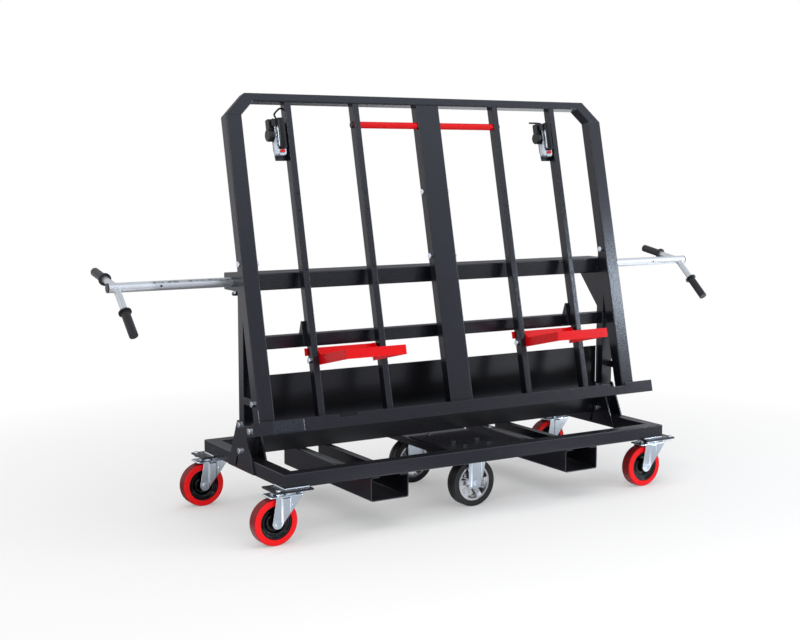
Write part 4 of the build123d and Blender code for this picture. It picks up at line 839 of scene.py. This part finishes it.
# %% Handle welds
tube_radius, arm_radius = 16.85 * mm, 12.0 * mm
tube_y, tube_z = 0.080, 0.850
arm_turns = (radians(222), radians(10))
puddles_round = 18
for side_name, arm_x in (("left", -1.250), ("right", 1.278)):
    shape = bmesh.new()
    for turn in arm_turns:
        out = Vector((0, cos(turn), sin(turn)))
        across = Vector((0, -sin(turn), cos(turn)))
        path, radii = [], []
        for angle in full_turn(72):
            reach = sqrt(tube_radius**2 - (arm_radius * sin(angle)) ** 2)
            round_arm = Vector((arm_radius * cos(angle), 0, 0)) + arm_radius * sin(angle) * across
            path.append(Vector((arm_x, tube_y, tube_z)) + reach * out + round_arm)
            radii.append((2.0 + 0.5 * abs(sin(puddles_round / 2 * angle))) * mm)
        add_tube(shape, path, radii, out, closed=True)
    keep_piece("handle_welds_" + side_name, shape, side_name + "_handle", "galvanised")

# %% [markdown]
# ### Centre tyres
# The solid rubber tyres of the centre wheels have two ribs with a groove between them. A tyre is a shape
# of revolution, so one cross-section is drawn with rounded edges and turned about the axle.

# %% Centre tyres
def add_turned(shape, centre, axis, profile, segments=128):
    """Turns a closed outline of (radius, along) points about an axis."""
    centre, axis = Vector(centre), Vector(axis)
    side = axis.orthogonal().normalized()
    other = axis.cross(side)
    loops = []
    for turn in full_turn(segments):
        out = cos(turn) * side + sin(turn) * other
        points = [centre + radius * out + along * axis for radius, along in profile]
        loops.append([shape.verts.new(point) for point in points])
    add_skin(shape, loops, closed=True)


def rounded(corner_radius, corner_along, size, start, steps=5):
    """Points of a quarter circle that rounds one corner of the outline."""
    points = []
    for step in range(steps + 1):
        turn = radians(start + 90 * step / steps)
        points.append((corner_radius + size * cos(turn), corner_along + size * sin(turn)))
    return points


outer, inner, half = 90.0, 68.0, 24.0
rib_edge, groove_half, groove_edge, groove_depth = 4.0, 2.2, 1.2, 4.0
outline = [(inner, -half), (inner, half)]
outline += rounded(outer - rib_edge, half - rib_edge, rib_edge, 0)[::-1]
outline += rounded(outer - groove_edge, groove_half + groove_edge, groove_edge, -90)[::-1]
outline += [(outer - groove_depth, groove_half), (outer - groove_depth, -groove_half)]
outline += rounded(outer - groove_edge, -groove_half - groove_edge, groove_edge, 0)[::-1]
outline += rounded(outer - rib_edge, -half + rib_edge, rib_edge, -90)[::-1]
profile = [(radius * mm, along * mm) for radius, along in outline]
axle_height = 0.090
for side_name, wheel_y in (("front", -0.212), ("rear", 0.212)):
    shape = bmesh.new()
    add_turned(shape, (0, wheel_y, axle_height), (0, 1, 0), profile)
    tyre = keep_piece("ribbed_tyre_" + side_name, shape, "centre_wheel_" + side_name, "tyre")
    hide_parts("centre_tyre_" + side_name)

# %% [markdown]
# ### Caster hubs
# The black hubs are mouldings. Plastic has to flow round every corner and to leave the tool, so a moulded
# hub has soft steps, and these catch the lamps as crescents. The corners of its outline are rounded
# before it is turned.

# %% Caster hubs
def soften(points, steps=4):
    """Rounds the corners of a closed outline. Each point has its own size of rounding."""
    smooth = []
    for index, (radius, along, size) in enumerate(points):
        corner = Vector((radius, along))
        if size == 0:
            smooth.append(corner)
            continue
        start = corner + size * (Vector(points[index - 1][:2]) - corner).normalized()
        end = corner + size * (Vector(points[(index + 1) % len(points)][:2]) - corner).normalized()
        for step in range(steps + 1):
            share = step / steps
            smooth.append(start.lerp(corner, share).lerp(corner.lerp(end, share), share))
    return smooth


outer_side = [(6.25, 30, 0), (19, 30, 4), (22, 4, 5), (33, 4, 5), (38, 15, 5.5)]
outer_side += [(49, 15, 3), (52, 21, 2.5), (58, 21, 2)]
inner_side = [(radius, -along, size) for radius, along, size in outer_side[::-1]]
profile = [tuple(point * mm) for point in soften(outer_side + inner_side)]
axle_height = 0.080
for end_name, wheel_y in (("front", -0.304), ("rear", 0.304)):
    for side_name, wheel_x in (("left", -0.859), ("right", 0.751)):
        corner_name = end_name + "_" + side_name
        shape = bmesh.new()
        add_turned(shape, (wheel_x, wheel_y, axle_height), (0, 1, 0), profile, segments=72)
        hub = keep_piece("soft_hub_" + corner_name, shape, "wheel_" + corner_name, "hub")
        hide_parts("caster_hub_" + corner_name)

# %% [markdown]
# ### Bolts at the pads
# Each pad has one more bolt at its outer corner. One screw sits on the bridge, and one on a pocket. A
# hexagon with its top edge turned off makes a head or a nut, and a short round end stands out below. One
# mesh holds all of them.

# %% Pad bolts
def add_hexagon(shape, foot, axis, flats, height, sides=6):
    """A hexagon or, with more sides, a round stub: straight walls, a turned-off edge and a flat top."""
    foot, axis = Vector(foot), Vector(axis)
    side = axis.orthogonal().normalized()
    other = axis.cross(side)
    corner = flats / 2 / cos(pi / sides)
    rings = []
    for reach, along in ((corner, 0.0), (corner, height * 0.78), (corner * 0.86, height)):
        centre = foot + along * axis
        ring = [centre + reach * (cos(turn) * side + sin(turn) * other) for turn in full_turn(sides)]
        rings.append([shape.verts.new(point) for point in ring])
    add_skin(shape, rings)


bolt_flats, stub_width = 13 * mm, 8 * mm
pad_top, pad_under, nut_end = 0.190, 0.184, 0.179
up, down = (0, 0, 1), (0, 0, -1)
shape = bmesh.new()
for x in (-0.861, 0.861):
    for y in (-0.346, 0.346):
        add_hexagon(shape, (x, y, pad_top), up, bolt_flats, 5.5 * mm)
        add_hexagon(shape, (x, y, pad_under), down, bolt_flats, 6.5 * mm)
        add_hexagon(shape, (x, y, nut_end), down, stub_width, 6.0 * mm, sides=16)
for place in ((-0.057, -0.010, 0.235), (0.356, 0.167, 0.190)):
    add_hexagon(shape, place, up, bolt_flats, 6 * mm)
keep_piece("pad_bolts", shape, "frame", "zinc")

# %% [markdown]
# ### Ratchets
# On each ratchet, the left cheek is bent out to a bright flange beside the lever, with a round hole and a
# slot. A small black neck sits above it. Each outline and its holes are drawn flat, filled with triangles
# and then thickened. Points are millimetres across the rack and up its slope, for the left ratchet. The
# right one stands one pitch further along.

# %% Ratchet flanges
sort_along = Vector((0.83, 0.51, 0.22))


def add_plate(shape, outlines, thickness, place):
    """A flat plate from an outline and its holes. The place turns two numbers into a point on one face."""
    edges = []
    for outline in outlines:
        ring = [shape.verts.new(place(across, along, 0.0)) for across, along in outline]
        edges += [shape.edges.new((one, two)) for one, two in zip(ring, ring[1:] + ring[:1])]
    filled = bmesh.ops.triangle_fill(shape, edges=edges, use_beauty=True)
    faces = [part for part in filled["geom"] if isinstance(part, bmesh.types.BMFace)]
    raised = bmesh.ops.extrude_face_region(shape, geom=faces)
    shift = place(0.0, 0.0, thickness) - place(0.0, 0.0, 0.0)
    moved = [part for part in raised["geom"] if isinstance(part, bmesh.types.BMVert)]
    bmesh.ops.translate(shape, verts=moved, vec=shift)
    # The new sides come in another order each run, so the faces are sorted along a slanting line.
    shape.faces.sort(key=lambda face: face.calc_center_median().dot(sort_along))


def round_end(across, along, radius, start, stop, steps=10):
    """Points of an arc, in degrees."""
    turns = [radians(start + (stop - start) * step / steps) for step in range(steps + 1)]
    return [(across + radius * cos(turn), along + radius * sin(turn)) for turn in turns]


def flat_on_rack(shift_x, depth):
    """The place of a plate that lies along the rack, at a depth."""
    return lambda across, along, up: rack_point(across + shift_x, along, up + depth)


ratchet_pitch = 1184.0
ratchets = (("left", 0.0), ("right", ratchet_pitch))
flange_depth, flange_thick, neck_depth, neck_thick = -8.0, 2.0, -10.5, 5.0
flange = round_end(-658.5, 1028, 7, 180, 270) + [(-652.5, 1021), (-652.5, 1124)]
flange += round_end(-656.5, 1121, 3, 90, 180) + [(-659.5, 1082), (-665.5, 1068)]
hole = round_end(-656, 1114, 1.8, 360, 36, 9)
slot = round_end(-656, 1098, 1.5, 180, 0) + round_end(-656, 1086, 1.5, 0, -180)
neck = round_end(-664, 1126, 4, 180, 270) + round_end(-656.8, 1126, 4, 270, 360)
neck += round_end(-656.8, 1146, 4, 0, 90) + round_end(-664, 1146, 4, 90, 180)
for side_name, shift_x in ratchets:
    shape = bmesh.new()
    add_plate(shape, [flange, hole, slot], flange_thick, flat_on_rack(shift_x, flange_depth))
    keep_piece("ratchet_flange_" + side_name, shape, "frame", "zinc")
    shape = bmesh.new()
    add_plate(shape, [neck], neck_thick, flat_on_rack(shift_x, neck_depth))
    keep_piece("ratchet_neck_" + side_name, shape, "frame", "trim")

# %% [markdown]
# The ratchet's lever is a bar with a round front, which a hand closes over. It is swept from a half-round
# section, and the sections shrink near the ends. A tab behind it reaches the pin between the cheeks.

# %% Lever bar
lever_middle, lever_half, lever_bulge, lever_back = -635.2, 17.0, 14.5, -8.3
lever_foot, lever_head, end_round, end_shrink = 1042.5, 1152.0, 5.0, 0.3
lever_facets = 24
tab_middle, tab_width, tab_front, tab_radius = -637.0, 24.4, -10.3, 7
pin_rise, pin_radius = 1136, 4.3
lever_tab = round_end(0, pin_rise, tab_radius, -90, 90)
lever_tab += [(tab_front, pin_rise + tab_radius), (tab_front, pin_rise - tab_radius)]
pin_hole = round_end(0, pin_rise, pin_radius, 360, 15, 23)


def lever_sections():
    """Heights along the bar and the size of the section there."""
    turns = [radians(15 * step) for step in range(1, 7)]
    ends = [(end_round * (1 - cos(turn)), 1 - end_shrink * (1 - sin(turn))) for turn in turns]
    foot = [(lever_foot + inset, share) for inset, share in ends]
    head = [(lever_head - inset, share) for inset, share in reversed(ends)]
    return foot + head


def add_lever(shape, shift_x):
    """The bar and its tab."""
    rings = []
    for rise, share in lever_sections():
        ring = []
        for step in range(lever_facets + 1):
            turn = pi * step / lever_facets
            across = lever_middle + shift_x + share * lever_half * cos(turn)
            depth = lever_back - share * lever_bulge * sin(turn)
            ring.append(shape.verts.new(rack_point(across, rise, depth)))
        rings.append(ring)
    add_skin(shape, rings)
    tab_left = tab_middle + shift_x - tab_width / 2

    def place(depth, rise, up):
        return rack_point(tab_left + up, rise, depth)

    add_plate(shape, [lever_tab, pin_hole], tab_width, place)


print("lever bar", lever_head - lever_foot, "mm long")

# %% [markdown]
# The bar's steel core shows as a bright round rail along its left side. Bar and rail both swing with the
# lever.

# %% Ratchet levers
rail_x, rail_foot, rail_length, rail_depth = -648.2, 1046, 80, -13.5
rail_radius, rail_steps = 4.2 * mm, 34
for side_name, shift_x in ratchets:
    shape = bmesh.new()
    add_lever(shape, shift_x)
    bar = keep_piece("lever_bar_" + side_name, shape, side_name + "_ratchet_lever", "grip")
    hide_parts("ratchet_lever_" + side_name)
    shape = bmesh.new()
    path, radii = [], []
    for step in range(rail_steps + 1):
        rise = rail_foot + rail_length * step / rail_steps
        path.append(rack_point(rail_x + shift_x, rise, rail_depth))
        radii.append(rail_radius * min(1.0, 0.5 + 0.12 * min(step, rail_steps - step)))
    add_tube(shape, path, radii, Vector((1, 0, 0)), sides=24)
    keep_piece("lever_rail_" + side_name, shape, side_name + "_ratchet_lever", "zinc")

# %% [markdown]
# The strap hooks are wire with a thick black plastic dip. The wire's bends are rounded by cutting every
# corner of the path three times, which is a quick way to a smooth line.

# %% Hook dips
def cut_corners(points, times_cut=3):
    """A smoother path between the same two ends."""
    for _ in range(times_cut):
        softer = [points[0]]
        for one, two in zip(points, points[1:]):
            softer += [one.lerp(two, 0.25), one.lerp(two, 0.75)]
        points = softer + [points[-1]]
    return points


hook_depth, dip_radius = 32, 3.4 * mm
hooks = {
    "left": ((-628, 1146), (-628, 1162), (-637, 1176), (-612, 1198), (-604.5, 1198)),
    "right": ((556, 1146), (556, 1162), (498, 1162)),
}
for side_name, bends in hooks.items():
    path = cut_corners([rack_point(across, rise, hook_depth) for across, rise in bends])
    shape = bmesh.new()
    add_tube(shape, path, [dip_radius] * len(path), Vector((0, 1, 0)))
    keep_piece("hook_dip_" + side_name, shape, "frame", "trim")

# %% [markdown]
# ### Blistered coat on the lip
# Near its left end, the tray's lip carries a patch where the coat has blistered into small bumps. It is a
# fine grid on the lip's face. Each point is raised by noise, and the edges go back into the lip.

# %% Lip patch
columns, rows = 96, 34
patch_left, patch_width, patch_foot, patch_height = -812, 120, 45, 41
lip_depth, blister_size = -52, 3.0
sunk, film_height, blister_height = -0.3, 0.45, 0.55
shape = bmesh.new()
grid = []
for column in range(columns + 1):
    line = []
    for row in range(rows + 1):
        across = patch_left + patch_width * column / columns
        rise = patch_foot + patch_height * row / rows
        bump = noise.noise(Vector((across / blister_size, rise / blister_size, 0.0)))
        at_edge = column in (0, columns) or row in (0, rows)
        height = sunk if at_edge else film_height + blister_height * max(0.0, bump)
        line.append(shape.verts.new(rack_point(across, rise, lip_depth - height)))
    grid.append(line)
for left, right in zip(grid, grid[1:]):
    for row in range(rows):
        shape.faces.new((left[row], right[row], right[row + 1], left[row + 1]))
border = [edge for edge in shape.edges if edge.is_boundary]
bmesh.ops.holes_fill(shape, edges=border)
keep_piece("blistered_coat", shape, "frame", "frame_paint")

# %% [markdown]
# Boards have knocked the coat off in two places: down the outer front corner of the left upright, and
# along the right border of the blistered patch. The bare steel shows as thin bright lines of uneven
# width.

# %% Chipped corners
chip_steps = 44
upright_chip = ((-836, 86, -0.1), (-836, 130, -0.1))
patch_chip = ((-692, 45, -52.2), (-692, 86, -52.2))
shape = bmesh.new()
for start, end in (upright_chip, patch_chip):
    start, end = rack_point(*start), rack_point(*end)
    path, radii = [], []
    for step in range(chip_steps + 1):
        path.append(start.lerp(end, step / chip_steps))
        radii.append(mm * (0.25 + 0.55 * abs(sin(step * 0.55) * cos(step * 0.17))))
    add_tube(shape, path, radii, Vector((1, 0, 0)), sides=8)
keep_piece("coat_chips", shape, "frame", "zinc")
